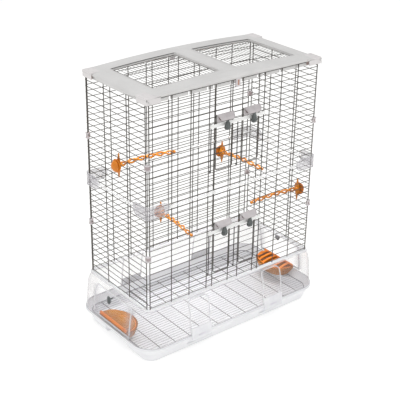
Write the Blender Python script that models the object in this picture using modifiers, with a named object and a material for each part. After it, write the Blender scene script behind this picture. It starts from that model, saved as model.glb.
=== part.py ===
# Large two-storey bird cage: wire walls in two levels on a clear skirt and a pan
# Metres, +Z up, +X along the length, -Y is the front; origin at the centre of the underside
import math

import bmesh
import bpy
from mathutils import Matrix, Vector

# Driving sizes
BASE_LENGTH = 0.780
BASE_DEPTH = 0.420
PAN_HEIGHT = 0.060
PAN_SLOPE = 0.029
PAN_CORNER = 0.040
PAN_FLOOR = 0.005
PAN_WALL = 0.004
RIM_HEIGHT = 0.008
LEDGE_HEIGHT = 0.0380
LEDGE_FROM = 0.0108
LEDGE_TO = 0.0
THROAT_REACH = 0.0185
END_RECESS_DEEP = 0.014
END_RECESS_WIDE = 0.124
END_RECESS_HIGH = 0.034
END_INSET = 0.0385
FRONT_INSET = 0.0410
SKIRT_TOP = 0.194
SKIRT_WALL = 0.0025
FLANGE_WIDTH = 0.0140
FLANGE_THICK = 0.0045
WIRE_PITCH = 0.02075
LEVEL_WIRES = 17
FIRST_WIRE = 0.0092
LOWER_MARGIN = 0.0088
UPPER_MARGIN = 0.0252
PANEL_THICK = 0.0042
THIN_WIRE = 0.0016
STEP_IN = 0.0003
CORNER_STEP = 0.0065
LONG_VERTICALS = (-0.258, -0.1855, -0.113, -0.089, -0.021, 0.021, 0.089, 0.113, 0.1855, 0.258)
SIDE_VERTICALS = (-0.0620, 0.0620)
STRIP_WEB = 0.0024
STRIP_HEIGHT = 0.0100
STRIP_FLANGE = 0.0012
BRACKET_HEIGHT = 0.043
BRACKET_WALL = 0.0020
BRACKET_FRONT = 0.085
BRACKET_SIDE = 0.075
ROOF_OVERHANG = 0.0045
ROOF_WALL = 0.0025
LIP_WALL = 0.0020
LIP_DROP = 0.0040
ROOF_ARCH = 0.0135
RING_DROP = 0.0165
RING_WALL = 0.0020
CAP_LENGTH = 0.054
CAP_WIDTH = 0.052
CAP_DROP = 0.0215
WINDOW_INNER = 0.034
WINDOW_MARGIN = 0.067
WINDOW_SIDE = 0.0575
WINDOW_RIM = 0.0100
TONGUE_WIDTH = 0.124
TONGUE_DROP = 0.012
ROOF_WIRE_PITCH = 0.0135
ROOF_BAR_PLACE = 0.0625
GRILLE_SINK = 0.0025
GRILLE_TALL = 0.0046
LEDGE_REACH = 0.0030
FLOOR_WIRE_PITCH = 0.0125
FLOOR_BAR_PITCH = 0.0615
FLOOR_BARS = 5
GRILLE_REACH = 0.0030
FLOOR_FRAME = 0.0036
DOOR_WIDTH = 0.070
DOOR_HEIGHT = 0.150
DOOR_CENTRES = (-0.055, 0.055)
DOOR_BOTTOM_WIRE = {"lower": 3, "upper": 4}
DOOR_DROP = 0.0150
DOOR_WIRE = 0.0024
DOOR_REACH = 0.0370
DOOR_TRAVEL = 0.100
BAR_HEIGHT = 0.0115
BAR_THICK = 0.0024
BAR_LENGTH = 0.226
ROD_PLACES = (-0.109, 0.0, 0.109)
ROD_RADIUS = 0.0017
ROD_LENGTH = 0.148
ROD_BALL = 0.0036
HANDLE_TOP = 0.066
HANDLE_FOOT = 0.050
HANDLE_HEIGHT = 0.0180
HANDLE_DEPTH = 0.0170
HANDLE_LIFT = 0.0110
HANDLE_PLATE = 0.0022
HANDLE_SKIRT = 0.0080
KNOB_RADIUS = 0.0105
KNOB_LENGTH = 0.034
KNOB_NECK = 0.0050
KNOB_FLAT = 0.72
PIN_RADIUS = 0.0022
PIN_LENGTH = 0.0042
BAR_LAP = 0.00225
ROD_STRIP = 0.0012
STRIP_HALF = 0.0030
END_DOOR_WIDTH = 0.212
END_DOOR_FOOT = 0.0700
END_DOOR_HEAD = 0.1760
END_BARREL = 0.0024
END_KNOB_RADIUS = 0.0125
END_KNOB_PLACE = 0.015
END_KNOB_HEIGHT = 0.160
KNOB_CLEAR = 0.0007
LATCH_WIDTH = 0.083
LATCH_PLACE = 0.1615
LATCH_TOP = 0.086
LATCH_WALL = 0.0034
LATCH_BARREL = 0.0026
CUP_DEPTH = 0.084
CUP_WIDTH = 0.160
CUP_HEIGHT = 0.031
CUP_WALL = 0.0020
CUP_FOOT_INSET = 0.017
CUP_FOOT_SCALE = 1.10
CUP_INSET = 0.009
HOOD_RISE = 0.010
HOOD_DEPTH = 0.076
HOOD_SLOTS = 5
HOOD_SLOT_WIDTH = 0.0155
HOOD_MOUTH = (0.016, 0.054, -0.058, 0.016)
PERCH_LENGTH = 0.218
PERCH_TURNS = 3
PERCH_STRAND = 0.0024
PERCH_SPREAD = 0.0040
PERCH_BOW = 0.006
PERCH_TIP = 0.0058
PLATE_HEIGHT = 0.084
PLATE_WIDTH = 0.024
PLATE_THICK = 0.0040
STUD_RADIUS = 0.0032
STUD_LENGTH = 0.0120
NUT_RADIUS = 0.0230
NUT_HEIGHT = 0.0190
GAP = 0.0003
RUN = 0.0010
OVER = 0.0020

# Levels and planes that follow from them
CAGE_LENGTH = BASE_LENGTH - 2 * END_INSET
CAGE_DEPTH = BASE_DEPTH - 2 * FRONT_INSET
HALF_X = CAGE_LENGTH / 2
HALF_Y = CAGE_DEPTH / 2
LEVEL_RISE = (LEVEL_WIRES - 1) * WIRE_PITCH
LOWER_FOOT = SKIRT_TOP + GAP
LOWER_HEAD = LOWER_FOOT + FIRST_WIRE + LEVEL_RISE + LOWER_MARGIN
WEB_FOOT = LOWER_HEAD + GAP
UPPER_FOOT = WEB_FOOT + STRIP_WEB + GAP
UPPER_HEAD = UPPER_FOOT + FIRST_WIRE + LEVEL_RISE + UPPER_MARGIN
LEVELS = {"lower": (LOWER_FOOT, LOWER_HEAD), "upper": (UPPER_FOOT, UPPER_HEAD)}
ROOF_FOOT = UPPER_HEAD + RUN
ROOF_TOP = ROOF_FOOT + LIP_DROP
ROOF_X = HALF_X + ROOF_OVERHANG
ROOF_Y = HALF_Y + ROOF_OVERHANG
WINDOW_OUTER = ROOF_X - WINDOW_MARGIN
WINDOW_DEPTH = 2 * (ROOF_Y - WINDOW_SIDE)
CUP_FACE = BASE_LENGTH / 2 - CUP_INSET
FAR = BASE_LENGTH + BASE_DEPTH
SKY = ROOF_TOP + ROOF_ARCH + FAR
WALL_FACE = HALF_Y + PANEL_THICK / 2
DOOR_Y = WALL_FACE + RUN + DOOR_WIRE / 2
BAR_Y = DOOR_Y + DOOR_WIRE / 2 + GAP + BAR_THICK / 2
PAN_X = BASE_LENGTH / 2 - PAN_SLOPE
PAN_Y = BASE_DEPTH / 2 - PAN_SLOPE
GRILLE_TOP = LEDGE_HEIGHT + GAP + FLOOR_FRAME
SKIRT_FOOT = PAN_HEIGHT + GAP
ROD_Y = -(DOOR_Y + DOOR_WIRE / 2 - ROD_RADIUS)
KNOB_Y = -(BAR_Y + BAR_THICK / 2 + 0.0005 + KNOB_RADIUS)
ROOF_STATIONS = [ROOF_X * (index - 7) / 7 for index in range(15)]

# Perches: place on the wall plane, then the tip
PERCHES = (
    ("left", (-HALF_X, -0.010, 0.652), (-0.134, -0.020, 0.648)),
    ("back_right", (0.221, HALF_Y, 0.4985), (0.231, -0.050, 0.501)),
    ("back_left", (-0.057, HALF_Y, 0.333), (-0.083, -0.050, 0.335)),
    ("right", (HALF_X, -0.108, 0.4157), (0.131, -0.100, 0.418)),
)

# Skirt outline: height, distance outside the wall plane, corner radius
SKIRT_PROFILE = (
    (SKIRT_FOOT, 0.0360, 0.070),
    (0.104, 0.0330, 0.066),
    (0.150, 0.0270, 0.056),
    (0.174, 0.0200, 0.044),
    (0.186, 0.0120, 0.032),
    (SKIRT_TOP, 0.0070, 0.020),
)

collection = bpy.data.collections.new("bird_cage")
cutters = bpy.data.collections.new("cutters")


def clear_scene():
    for thing in list(bpy.data.objects):
        bpy.data.objects.remove(thing, do_unlink=True)
    bpy.context.scene.collection.children.link(collection)
    bpy.context.scene.collection.children.link(cutters)


def make_material(name, colour, roughness, metallic=0.0, alpha=1.0):
    material = bpy.data.materials.new(name)
    material.use_nodes = True
    shader = material.node_tree.nodes["Principled BSDF"]
    shader.inputs["Base Color"].default_value = (*colour, 1.0)
    shader.inputs["Roughness"].default_value = roughness
    shader.inputs["Metallic"].default_value = metallic
    shader.inputs["Alpha"].default_value = alpha
    return material


def add_object(name, bm, material, place=(0, 0, 0)):
    mesh = bpy.data.meshes.new(name)
    bmesh.ops.recalc_face_normals(bm, faces=bm.faces)
    bm.to_mesh(mesh)
    bm.free()
    thing = bpy.data.objects.new(name, mesh)
    collection.objects.link(thing)
    mesh.materials.append(material)
    thing.location = place
    return thing


def hide_cutter(thing):
    for owner in list(thing.users_collection):
        owner.objects.unlink(thing)
    cutters.objects.link(thing)
    thing.hide_render = True
    thing.display_type = "WIRE"


def combine(thing, other, operation):
    modifier = thing.modifiers.new(operation.lower(), "BOOLEAN")
    modifier.operation = operation
    modifier.solver = "EXACT"
    modifier.object = other
    hide_cutter(other)


def settle(thing):
    bpy.context.view_layer.update()
    evaluated = thing.evaluated_get(bpy.context.evaluated_depsgraph_get())
    mesh = bpy.data.meshes.new_from_object(evaluated)
    used = [modifier.object for modifier in thing.modifiers if modifier.type == "BOOLEAN"]
    thing.modifiers.clear()
    thing.data = mesh
    for cutter in used:
        bpy.data.objects.remove(cutter, do_unlink=True)
    return thing


def add_box(bm, low, high):
    centre = (Vector(low) + Vector(high)) / 2
    size = Vector(high) - Vector(low)
    matrix = Matrix.Translation(centre) @ Matrix.Diagonal((*size, 1.0))
    bmesh.ops.create_cube(bm, size=1.0, matrix=matrix)


def box_set(name, boxes, material):
    bm = bmesh.new()
    for low, high in boxes:
        add_box(bm, low, high)
    return add_object(name, bm, material)


def rounded_ring(half_x, half_y, radius, z, steps=6):
    points = []
    for corner, (sx, sy) in enumerate(((1, 1), (-1, 1), (-1, -1), (1, -1))):
        for step in range(steps + 1):
            turn = math.radians(90 * corner + 90 * step / steps)
            x = sx * (half_x - radius) + radius * math.cos(turn)
            y = sy * (half_y - radius) + radius * math.sin(turn)
            points.append(Vector((x, y, z)))
    return points


def half_ring(depth, half_width, z, steps=12, power=0.75):
    points = []
    for step in range(steps + 1):
        turn = math.pi * (step / steps - 0.5)
        reach = depth * math.cos(turn) ** power
        points.append(Vector((reach, half_width * math.sin(turn), z)))
    return points


def loft(bm, rings, closed=False):
    loops = [[bm.verts.new(point) for point in ring] for ring in rings]
    pairs = list(zip(loops, loops[1:]))
    if closed:
        pairs.append((loops[-1], loops[0]))
    else:
        bm.faces.new(loops[0])
        bm.faces.new(loops[-1])
    for first, second in pairs:
        count = len(first)
        for index in range(count):
            after = (index + 1) % count
            bm.faces.new((first[index], first[after], second[after], second[index]))


def face_outward(thing):
    bm = bmesh.new()
    bm.from_mesh(thing.data)
    bmesh.ops.recalc_face_normals(bm, faces=bm.faces)
    bm.to_mesh(thing.data)
    bm.free()
    return thing


def turned(name, profile, material, steps=16):
    mesh = bpy.data.meshes.new(name)
    bm = bmesh.new()
    points = [bm.verts.new((radius, 0, z)) for radius, z in profile]
    for first, second in zip(points, points[1:]):
        bm.edges.new((first, second))
    bm.to_mesh(mesh)
    bm.free()
    thing = bpy.data.objects.new(name, mesh)
    collection.objects.link(thing)
    mesh.materials.append(material)
    screw = thing.modifiers.new("turn", "SCREW")
    screw.axis = "Z"
    screw.steps = steps
    screw.render_steps = steps
    screw.use_merge_vertices = True
    screw.merge_threshold = 0.00001
    settle(thing)
    return face_outward(thing)


def tube(name, points, radius, material, sides=1):
    curve = bpy.data.curves.new(name, "CURVE")
    curve.dimensions = "3D"
    curve.bevel_depth = radius
    curve.bevel_resolution = sides
    curve.use_fill_caps = True
    spline = curve.splines.new("POLY")
    spline.points.add(len(points) - 1)
    for slot, point in zip(spline.points, points):
        slot.co = (*point, 1.0)
    thing = bpy.data.objects.new(name, curve)
    collection.objects.link(thing)
    bpy.context.view_layer.update()
    mesh = bpy.data.meshes.new_from_object(thing.evaluated_get(bpy.context.evaluated_depsgraph_get()))
    bpy.data.objects.remove(thing, do_unlink=True)
    bm = bmesh.new()
    bm.from_mesh(mesh)
    bmesh.ops.remove_doubles(bm, verts=bm.verts, dist=0.00001)
    return add_object(name, bm, material)


def move_mesh(thing, matrix):
    thing.data.transform(matrix)
    return thing


def wire_height(level, index):
    return LEVELS[level][0] + FIRST_WIRE + index * WIRE_PITCH


# Base

def pan_ring(outset, z):
    return rounded_ring(PAN_X + outset, PAN_Y + outset, PAN_CORNER + 1.2 * outset, z)


def make_pan(material):
    rim = PAN_SLOPE
    inner = rim - 0.0065
    bm = bmesh.new()
    loft(bm, (
        pan_ring(-0.004, 0),
        pan_ring(0, 0.004),
        pan_ring(rim - 0.0075, PAN_HEIGHT - RIM_HEIGHT),
        pan_ring(rim, PAN_HEIGHT - RIM_HEIGHT),
        pan_ring(rim, PAN_HEIGHT - 0.002),
        pan_ring(rim - 0.002, PAN_HEIGHT),
        pan_ring(inner, PAN_HEIGHT),
        pan_ring(THROAT_REACH, PAN_HEIGHT - RIM_HEIGHT),
        pan_ring(LEDGE_FROM, LEDGE_HEIGHT),
        pan_ring(LEDGE_TO, LEDGE_HEIGHT),
        pan_ring(-PAN_WALL, PAN_FLOOR),
    ))
    pan = add_object("base_pan", bm, material)
    walls = []
    recesses = []
    half = END_RECESS_WIDE / 2
    for side in (-1, 1):
        inside = PAN_X - END_RECESS_DEEP
        xs = sorted((side * (inside - PAN_WALL), side * (PAN_X + PAN_WALL)))
        walls.append(((xs[0], -half - PAN_WALL, PAN_FLOOR / 2), (xs[1], half + PAN_WALL, END_RECESS_HIGH + PAN_WALL)))
        xs = sorted((side * inside, side * (PAN_X + 2 * PAN_SLOPE)))
        recesses.append(((xs[0], -half, -OVER), (xs[1], half, END_RECESS_HIGH)))
    combine(pan, box_set("recess_walls", walls, material), "UNION")
    combine(pan, box_set("end_recesses", recesses, material), "DIFFERENCE")
    return settle(pan)


def skirt_ring(outset, radius, z):
    return rounded_ring(HALF_X + outset, HALF_Y + outset, radius, z)


def skirt_shell(name, material):
    rings = [skirt_ring(outset, radius, z) for z, outset, radius in SKIRT_PROFILE]
    flange_in = SKIRT_PROFILE[-1][1] - FLANGE_WIDTH
    rings.append(skirt_ring(flange_in, 0.012, SKIRT_TOP))
    rings.append(skirt_ring(flange_in, 0.012, SKIRT_TOP - FLANGE_THICK))
    for z, outset, radius in reversed(SKIRT_PROFILE[:-1]):
        drop = min(z, SKIRT_TOP - FLANGE_THICK - 0.0015)
        rings.append(skirt_ring(outset - SKIRT_WALL, radius - SKIRT_WALL, drop))
    bm = bmesh.new()
    loft(bm, rings, closed=True)
    return add_object(name, bm, material)


def end_box(side, grow):
    half = END_DOOR_WIDTH / 2 + grow
    xs = sorted((side * (HALF_X - 0.010), side * (BASE_LENGTH / 2 + 0.020)))
    return (xs[0], -half, END_DOOR_FOOT - grow), (xs[1], half, END_DOOR_HEAD + grow)


def make_skirt(material):
    skirt = skirt_shell("base_skirt", material)
    combine(skirt, box_set("skirt_ports", [end_box(-1, RUN), end_box(1, RUN)], material), "DIFFERENCE")
    return settle(skirt)


def skirt_outset(z):
    for (z0, out0, _), (z1, out1, _) in zip(SKIRT_PROFILE, SKIRT_PROFILE[1:]):
        if z0 <= z <= z1:
            return out0 + (z - z0) / (z1 - z0) * (out1 - out0)
    return SKIRT_PROFILE[-1][1]


def barrel_place():
    z = END_DOOR_FOOT + END_BARREL
    return HALF_X + skirt_outset(z) - SKIRT_WALL / 2, z


def make_end_door(name, side, material):
    door = skirt_shell(name, material)
    low, high = end_box(side, 0)
    low = (low[0], low[1], low[2] + END_BARREL)
    combine(door, box_set(name + "_block", [(low, high)], material), "INTERSECT")
    x, z = barrel_place()
    bm = bmesh.new()
    turn = Matrix.Translation((side * x, 0, z)) @ Matrix.Rotation(math.pi / 2, 4, "X")
    bmesh.ops.create_cone(bm, cap_ends=True, segments=12, radius1=END_BARREL, radius2=END_BARREL,
                          depth=END_DOOR_WIDTH + 2 * (RUN - GAP), matrix=turn)
    combine(door, add_object(name + "_barrel", bm, material), "UNION")
    bm = bmesh.new()
    spot = Matrix.Translation((side * HALF_X, END_KNOB_PLACE, END_KNOB_HEIGHT)) @ Matrix.Rotation(math.pi / 2, 4, "Y")
    bmesh.ops.create_cone(bm, cap_ends=True, segments=12, radius1=PIN_RADIUS + GAP, radius2=PIN_RADIUS + GAP,
                          depth=0.09, matrix=spot)
    combine(door, add_object(name + "_bore", bm, material), "DIFFERENCE")
    settle(door)
    move_mesh(door, Matrix.Translation((-side * x, 0, -z)))
    door.location = (side * x, 0, z)
    return door


def make_latch(name, side_x, side_y, material):
    face = BASE_DEPTH / 2 + GAP
    under = PAN_HEIGHT - RIM_HEIGHT - GAP
    axis_y = HALF_Y + skirt_outset(LATCH_TOP - LATCH_BARREL) + GAP + LATCH_BARREL
    outline = (
        (face - 0.0055, under),
        (face, under),
        (face, PAN_HEIGHT),
        (axis_y - 0.0012, LATCH_TOP - 0.004),
        (axis_y - 0.0012, LATCH_TOP),
        (axis_y + 0.0012, LATCH_TOP),
        (axis_y + 0.0020, LATCH_TOP - 0.003),
        (face + LATCH_WALL, PAN_HEIGHT + 0.006),
        (face + LATCH_WALL, under - 0.010),
        (face + LATCH_WALL - 0.0020, under - 0.013),
        (face, under - 0.010),
        (face - 0.0010, under - 0.0032),
        (face - 0.0055, under - 0.0022),
    )
    half = LATCH_WIDTH / 2
    bm = bmesh.new()
    rings = [[Vector((x, side_y * y, z)) for y, z in outline] for x in (-half, half)]
    loft(bm, rings)
    latch = add_object(name, bm, material)
    bm = bmesh.new()
    spot = Matrix.Translation((0, side_y * axis_y, LATCH_TOP)) @ Matrix.Rotation(math.pi / 2, 4, "Y")
    bmesh.ops.create_cone(bm, cap_ends=True, segments=12, radius1=LATCH_BARREL, radius2=LATCH_BARREL,
                          depth=LATCH_WIDTH - 0.006, matrix=spot)
    combine(latch, add_object(name + "_barrel", bm, material), "UNION")
    settle(latch)
    move_mesh(latch, Matrix.Translation((0, -side_y * axis_y, -LATCH_TOP)))
    latch.location = (side_x * LATCH_PLACE, side_y * axis_y, LATCH_TOP)
    return latch


def rounded_reach(half_x, half_y, radius, across):
    beyond = across - (half_y - radius)
    if beyond <= 0:
        return half_x
    return half_x - radius + math.sqrt(max(radius ** 2 - beyond ** 2, 0))


def make_floor_grille(material):
    half_x, half_y = PAN_X + GRILLE_REACH, PAN_Y + GRILLE_REACH
    radius = PAN_CORNER + 1.2 * GRILLE_REACH
    foot, head = LEDGE_HEIGHT + GAP, GRILLE_TOP
    grow = FLOOR_FRAME / 2
    bm = bmesh.new()
    loft(bm, [rounded_ring(half_x + out, half_y + out, radius + out, z) for out, z in
              ((grow, foot), (grow, head), (-grow, head), (-grow, foot))], closed=True)
    frame = add_object("floor_grille", bm, material)
    count = int((half_y - 0.006) / FLOOR_WIRE_PITCH)
    half = THIN_WIRE / 2
    wires = []
    for index in range(-count, count + 1):
        y = index * FLOOR_WIRE_PITCH
        reach = rounded_reach(half_x, half_y, radius, abs(y))
        wires.append(((-reach, y - half, head - THIN_WIRE), (reach, y + half, head - 0.0001)))
    top = head - THIN_WIRE - GAP
    for index in range(-FLOOR_BARS, FLOOR_BARS + 1):
        x = index * FLOOR_BAR_PITCH
        reach = rounded_reach(half_y, half_x, radius, abs(x))
        wires.append(((x - half, -reach, foot + 0.0001), (x + half, reach, top)))
    combine(frame, box_set("floor_wires", wires, material), "UNION")
    return settle(frame)


# Wire walls

def opening_wires(level):
    first = DOOR_BOTTOM_WIRE[level]
    return [index for index in range(LEVEL_WIRES)
            if first <= index < first + round(DOOR_HEIGHT / WIRE_PITCH)]


def make_wall(name, level, length, inner, openings, material):
    foot, head = LEVELS[level]
    thick = PANEL_THICK / 2
    half = THIN_WIRE / 2
    edge = length / 2 - CORNER_STEP
    posts = []
    for x in (-edge, edge):
        posts.append(((x - thick, -thick, foot), (x + thick, thick, head)))
    for x in inner:
        posts.append(((x - half, -thick + 2 * STEP_IN, foot + thick), (x + half, -GAP / 2, head - thick)))
    wall = box_set(name, posts, material)
    rails = []
    slim = thick - STEP_IN
    for z in (foot + thick, head - thick):
        rails.append(((-edge, -slim, z - slim), (edge, slim, z + slim)))
    gaps = opening_wires(level) if openings else []
    for index in range(LEVEL_WIRES):
        z = wire_height(level, index)
        spans = [(-edge, edge)]
        if index in gaps:
            spans = [(-edge, inner[3]), (inner[4], inner[5]), (inner[6], edge)]
        for left, right in spans:
            rails.append(((left, GAP / 2, z - half), (right, thick - 2 * STEP_IN, z + half)))
    if openings:
        low = wire_height(level, gaps[0]) - WIRE_PITCH / 2
        high = wire_height(level, gaps[-1]) + WIRE_PITCH / 2
        jambs = []
        for x in (inner[3], inner[4], inner[5], inner[6]):
            grow = half + 0.0004
            jambs.append(((x - grow, -thick, low), (x + grow, thick, high)))
        combine(wall, box_set(name + "_jambs", jambs, material), "UNION")
    combine(wall, box_set(name + "_rails", rails, material), "UNION")
    return settle(wall)


def place_wall(thing, side):
    if side == "front":
        turn, spot = math.pi, (0, -HALF_Y, 0)
    elif side == "back":
        turn, spot = 0, (0, HALF_Y, 0)
    elif side == "left":
        turn, spot = math.pi / 2, (-HALF_X, 0, 0)
    else:
        turn, spot = -math.pi / 2, (HALF_X, 0, 0)
    move_mesh(thing, Matrix.Rotation(turn, 4, "Z"))
    thing.location = spot


def make_walls(material):
    for level in LEVELS:
        for side in ("front", "back", "left", "right"):
            name = f"wall_{side}_{level}"
            long_side = side in ("front", "back")
            length = CAGE_LENGTH if long_side else CAGE_DEPTH
            inner = LONG_VERTICALS if long_side else SIDE_VERTICALS
            wall = make_wall(name, level, length, inner, side == "front", material)
            place_wall(wall, side)


def make_strip(name, side, material):
    length = CAGE_LENGTH if side in ("front", "back") else CAGE_DEPTH
    half = length / 2 - CORNER_STEP - PANEL_THICK / 2 - RUN
    edge = PANEL_THICK / 2 + GAP
    middle = WEB_FOOT + STRIP_WEB / 2
    low, high = middle - STRIP_HEIGHT / 2, middle + STRIP_HEIGHT / 2
    web = box_set(name, [((-half, -edge - STRIP_FLANGE / 2, WEB_FOOT),
                          (half, edge + STRIP_FLANGE / 2, WEB_FOOT + STRIP_WEB))], material)
    flanges = []
    for sign in (-1, 1):
        ys = sorted((sign * edge, sign * (edge + STRIP_FLANGE)))
        flanges.append(((-half - 0.0001, ys[0], low), (half + 0.0001, ys[1], high)))
    combine(web, box_set(name + "_flanges", flanges, material), "UNION")
    settle(web)
    place_wall(web, side)


def make_bracket(name, side_x, side_y, material):
    out = PANEL_THICK / 2 + GAP + STRIP_FLANGE + GAP + BRACKET_WALL / 2
    bend = 0.010
    corner_x, corner_y = HALF_X + out - bend, HALF_Y + out - bend
    path = [(corner_x - BRACKET_FRONT + bend, HALF_Y + out, 0.30)]
    for share, tall in ((0.06, 0.62), (0.16, 0.88), (0.30, 1.0)):
        path.append((corner_x - (BRACKET_FRONT - bend) * (1 - share), HALF_Y + out, tall))
    for step in range(5):
        turn = math.radians(90 - 90 * step / 4)
        path.append((corner_x + bend * math.cos(turn), corner_y + bend * math.sin(turn), 1.0))
    for share, tall in ((0.30, 1.0), (0.16, 0.88), (0.06, 0.62), (0.0, 0.30)):
        path.append((HALF_X + out, corner_y - (BRACKET_SIDE - bend) * (1 - share), tall))
    middle = WEB_FOOT + STRIP_WEB / 2
    bm = bmesh.new()
    columns = []
    for x, y, tall in path:
        rise = tall * BRACKET_HEIGHT / 2
        columns.append([bm.verts.new((side_x * x, side_y * y, middle + rise * share)) for share in (-1, 1)])
    for first, second in zip(columns, columns[1:]):
        bm.faces.new((first[0], second[0], second[1], first[1]))
    bracket = add_object(name, bm, material)
    solid = bracket.modifiers.new("wall", "SOLIDIFY")
    solid.thickness = BRACKET_WALL
    solid.offset = 0
    solid.use_even_offset = True
    return settle(bracket)


# Sliding doors with their guide rods, handles and lock knobs

def door_span(level):
    bottom = wire_height(level, DOOR_BOTTOM_WIRE[level]) - DOOR_DROP
    return bottom, bottom + DOOR_HEIGHT + BAR_HEIGHT / 2 - BAR_LAP


def make_guide_rods(level, material):
    bar = door_span(level)[1]
    low = bar - BAR_HEIGHT / 2 - ROD_LENGTH
    strip = BAR_Y - BAR_THICK / 2
    reach = ROD_PLACES[-1] + ROD_RADIUS
    boxes = [((-reach, -strip - ROD_STRIP, bar - STRIP_HALF), (reach, -strip, bar + STRIP_HALF))]
    fork = box_set(f"guide_rods_{level}", boxes, material)
    blocks = [((x - 0.0012, -strip - 0.0004, bar - 0.0025), (x + 0.0012, ROD_Y, bar + 0.0025))
              for x in ROD_PLACES]
    combine(fork, box_set(f"rod_blocks_{level}", blocks, material), "UNION")
    for index, x in enumerate(ROD_PLACES):
        rod = tube(f"rod_{level}_{index}", [(x, ROD_Y, bar + 0.004), (x, ROD_Y, low)], ROD_RADIUS, material, 2)
        combine(fork, rod, "UNION")
        ball = turned(f"ball_{level}_{index}", ball_profile(ROD_BALL), material, 10)
        move_mesh(ball, Matrix.Translation((x, ROD_Y - ROD_BALL + ROD_RADIUS, low)))
        combine(fork, ball, "UNION")
    return settle(fork)


def ball_profile(radius, steps=6):
    turns = [math.pi * step / steps for step in range(steps + 1)]
    return [(abs(radius * math.sin(turn)), radius * math.cos(turn)) for turn in turns]


def make_guide_bar(level, material):
    bar = door_span(level)[1]
    half = BAR_HEIGHT / 2
    low, high = BAR_Y - BAR_THICK / 2, BAR_Y + BAR_THICK / 2
    body = box_set(f"guide_bar_{level}", [((-BAR_LENGTH / 2, -high, bar - half),
                                           (BAR_LENGTH / 2, -low, bar + half))], material)
    grow = STRIP_HALF + GAP
    reach = ROD_PLACES[-1] + ROD_RADIUS + GAP
    groove = ((-reach, -low - ROD_STRIP - GAP, bar - grow), (reach, -low + OVER, bar + grow))
    combine(body, box_set(f"bar_groove_{level}", [groove], material), "DIFFERENCE")
    return settle(body)


def make_door(name, level, x, material):
    bottom = door_span(level)[0]
    top = bottom + DOOR_HEIGHT + DOOR_REACH
    radius = DOOR_WIRE / 2
    half = DOOR_WIDTH / 2 - radius
    bend = 0.008
    path = [(-half, 0, top)]
    for side, start in ((-1, 180), (1, 270)):
        for step in range(4):
            turn = math.radians(start + 30 * step)
            path.append((side * (half - bend) + bend * math.cos(turn), 0, bottom + bend + bend * math.sin(turn)))
    path.append((half, 0, top))
    door = tube(name, path, radius, material)
    thin = THIN_WIRE / 2
    rails = [((-half, -radius + 0.0002, top - 0.0022), (half, radius - 0.0002, top - 0.0004))]
    for index in range(DOOR_BOTTOM_WIRE[level], LEVEL_WIRES):
        z = wire_height(level, index)
        if z < top - 0.006:
            rails.append(((-half, -thin, z - thin), (half, thin, z + thin)))
    combine(door, box_set(name + "_rails", rails, material), "UNION")
    settle(door)
    door.location = (x, -DOOR_Y, 0)
    return door


def hood_ring(depth, half_width, z):
    return [Vector((point.y, -point.x, z)) for point in half_ring(depth, half_width, z, 10, 0.6)]


def handle_foot(level):
    return door_span(level)[1] + BAR_HEIGHT / 2 + HANDLE_LIFT


def make_handle(name, level, x, material):
    back = -(DOOR_Y + DOOR_WIRE / 2 + GAP)
    foot = handle_foot(level)
    bm = bmesh.new()
    loft(bm, (
        hood_ring(HANDLE_DEPTH, HANDLE_FOOT / 2, 0),
        hood_ring(HANDLE_DEPTH, HANDLE_FOOT / 2 + 0.002, PIN_LENGTH + 0.0018),
        hood_ring(HANDLE_DEPTH * 0.52, HANDLE_TOP / 2 - 0.003, 0.66 * HANDLE_HEIGHT),
        hood_ring(HANDLE_DEPTH * 0.20, HANDLE_TOP / 2 - 0.0005, HANDLE_HEIGHT - 0.0015),
        hood_ring(HANDLE_DEPTH * 0.16, HANDLE_TOP / 2 - 0.001, HANDLE_HEIGHT),
    ))
    handle = add_object(name, bm, material)
    plate = ((-HANDLE_TOP / 2, -HANDLE_PLATE, -HANDLE_SKIRT), (HANDLE_TOP / 2, -GAP / 2, HANDLE_HEIGHT - GAP))
    combine(handle, box_set(name + "_plate", [plate], material), "UNION")
    bore = turned(name + "_bore", [(0, PIN_LENGTH + 0.001), (PIN_RADIUS + GAP, PIN_LENGTH + 0.001),
                                   (PIN_RADIUS + GAP, -OVER), (0, -OVER)], material, 12)
    move_mesh(bore, Matrix.Translation((0, KNOB_Y - back, 0)))
    combine(handle, bore, "DIFFERENCE")
    settle(handle)
    handle.location = (x, back, foot)
    return handle


def pear_profile(radius, length, neck):
    return [(neck, 0), (neck, -0.10 * length), (0.62 * radius, -0.28 * length), (0.90 * radius, -0.50 * length),
            (radius, -0.68 * length), (0.90 * radius, -0.84 * length), (0.55 * radius, -0.96 * length),
            (0, -length)]


def make_knob(name, level, x, material):
    profile = [(0, PIN_LENGTH), (PIN_RADIUS, PIN_LENGTH), (PIN_RADIUS, 0)]
    profile += pear_profile(KNOB_RADIUS, KNOB_LENGTH, KNOB_NECK)
    knob = turned(name, profile, material, 14)
    for vertex in knob.data.vertices:
        share = min(max(-vertex.co.z / (0.4 * KNOB_LENGTH), 0), 1)
        vertex.co.y *= 1 - (1 - KNOB_FLAT) * share
    knob.location = (x, KNOB_Y, handle_foot(level) - GAP)
    return knob


def make_doors(wire, hood, knob, bar, rod):
    for level in LEVELS:
        make_guide_bar(level, bar)
        make_guide_rods(level, rod)
        for x in DOOR_CENTRES:
            place = f"{level}_{'left' if x < 0 else 'right'}"
            make_door(f"door_{place}", level, x, wire)
            make_handle(f"handle_{place}", level, x, hood)
            make_knob(f"knob_{place}", level, x, knob)


# Roof

def roof_z(x):
    return ROOF_TOP + ROOF_ARCH * (1 - (x / ROOF_X) ** 2)


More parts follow.
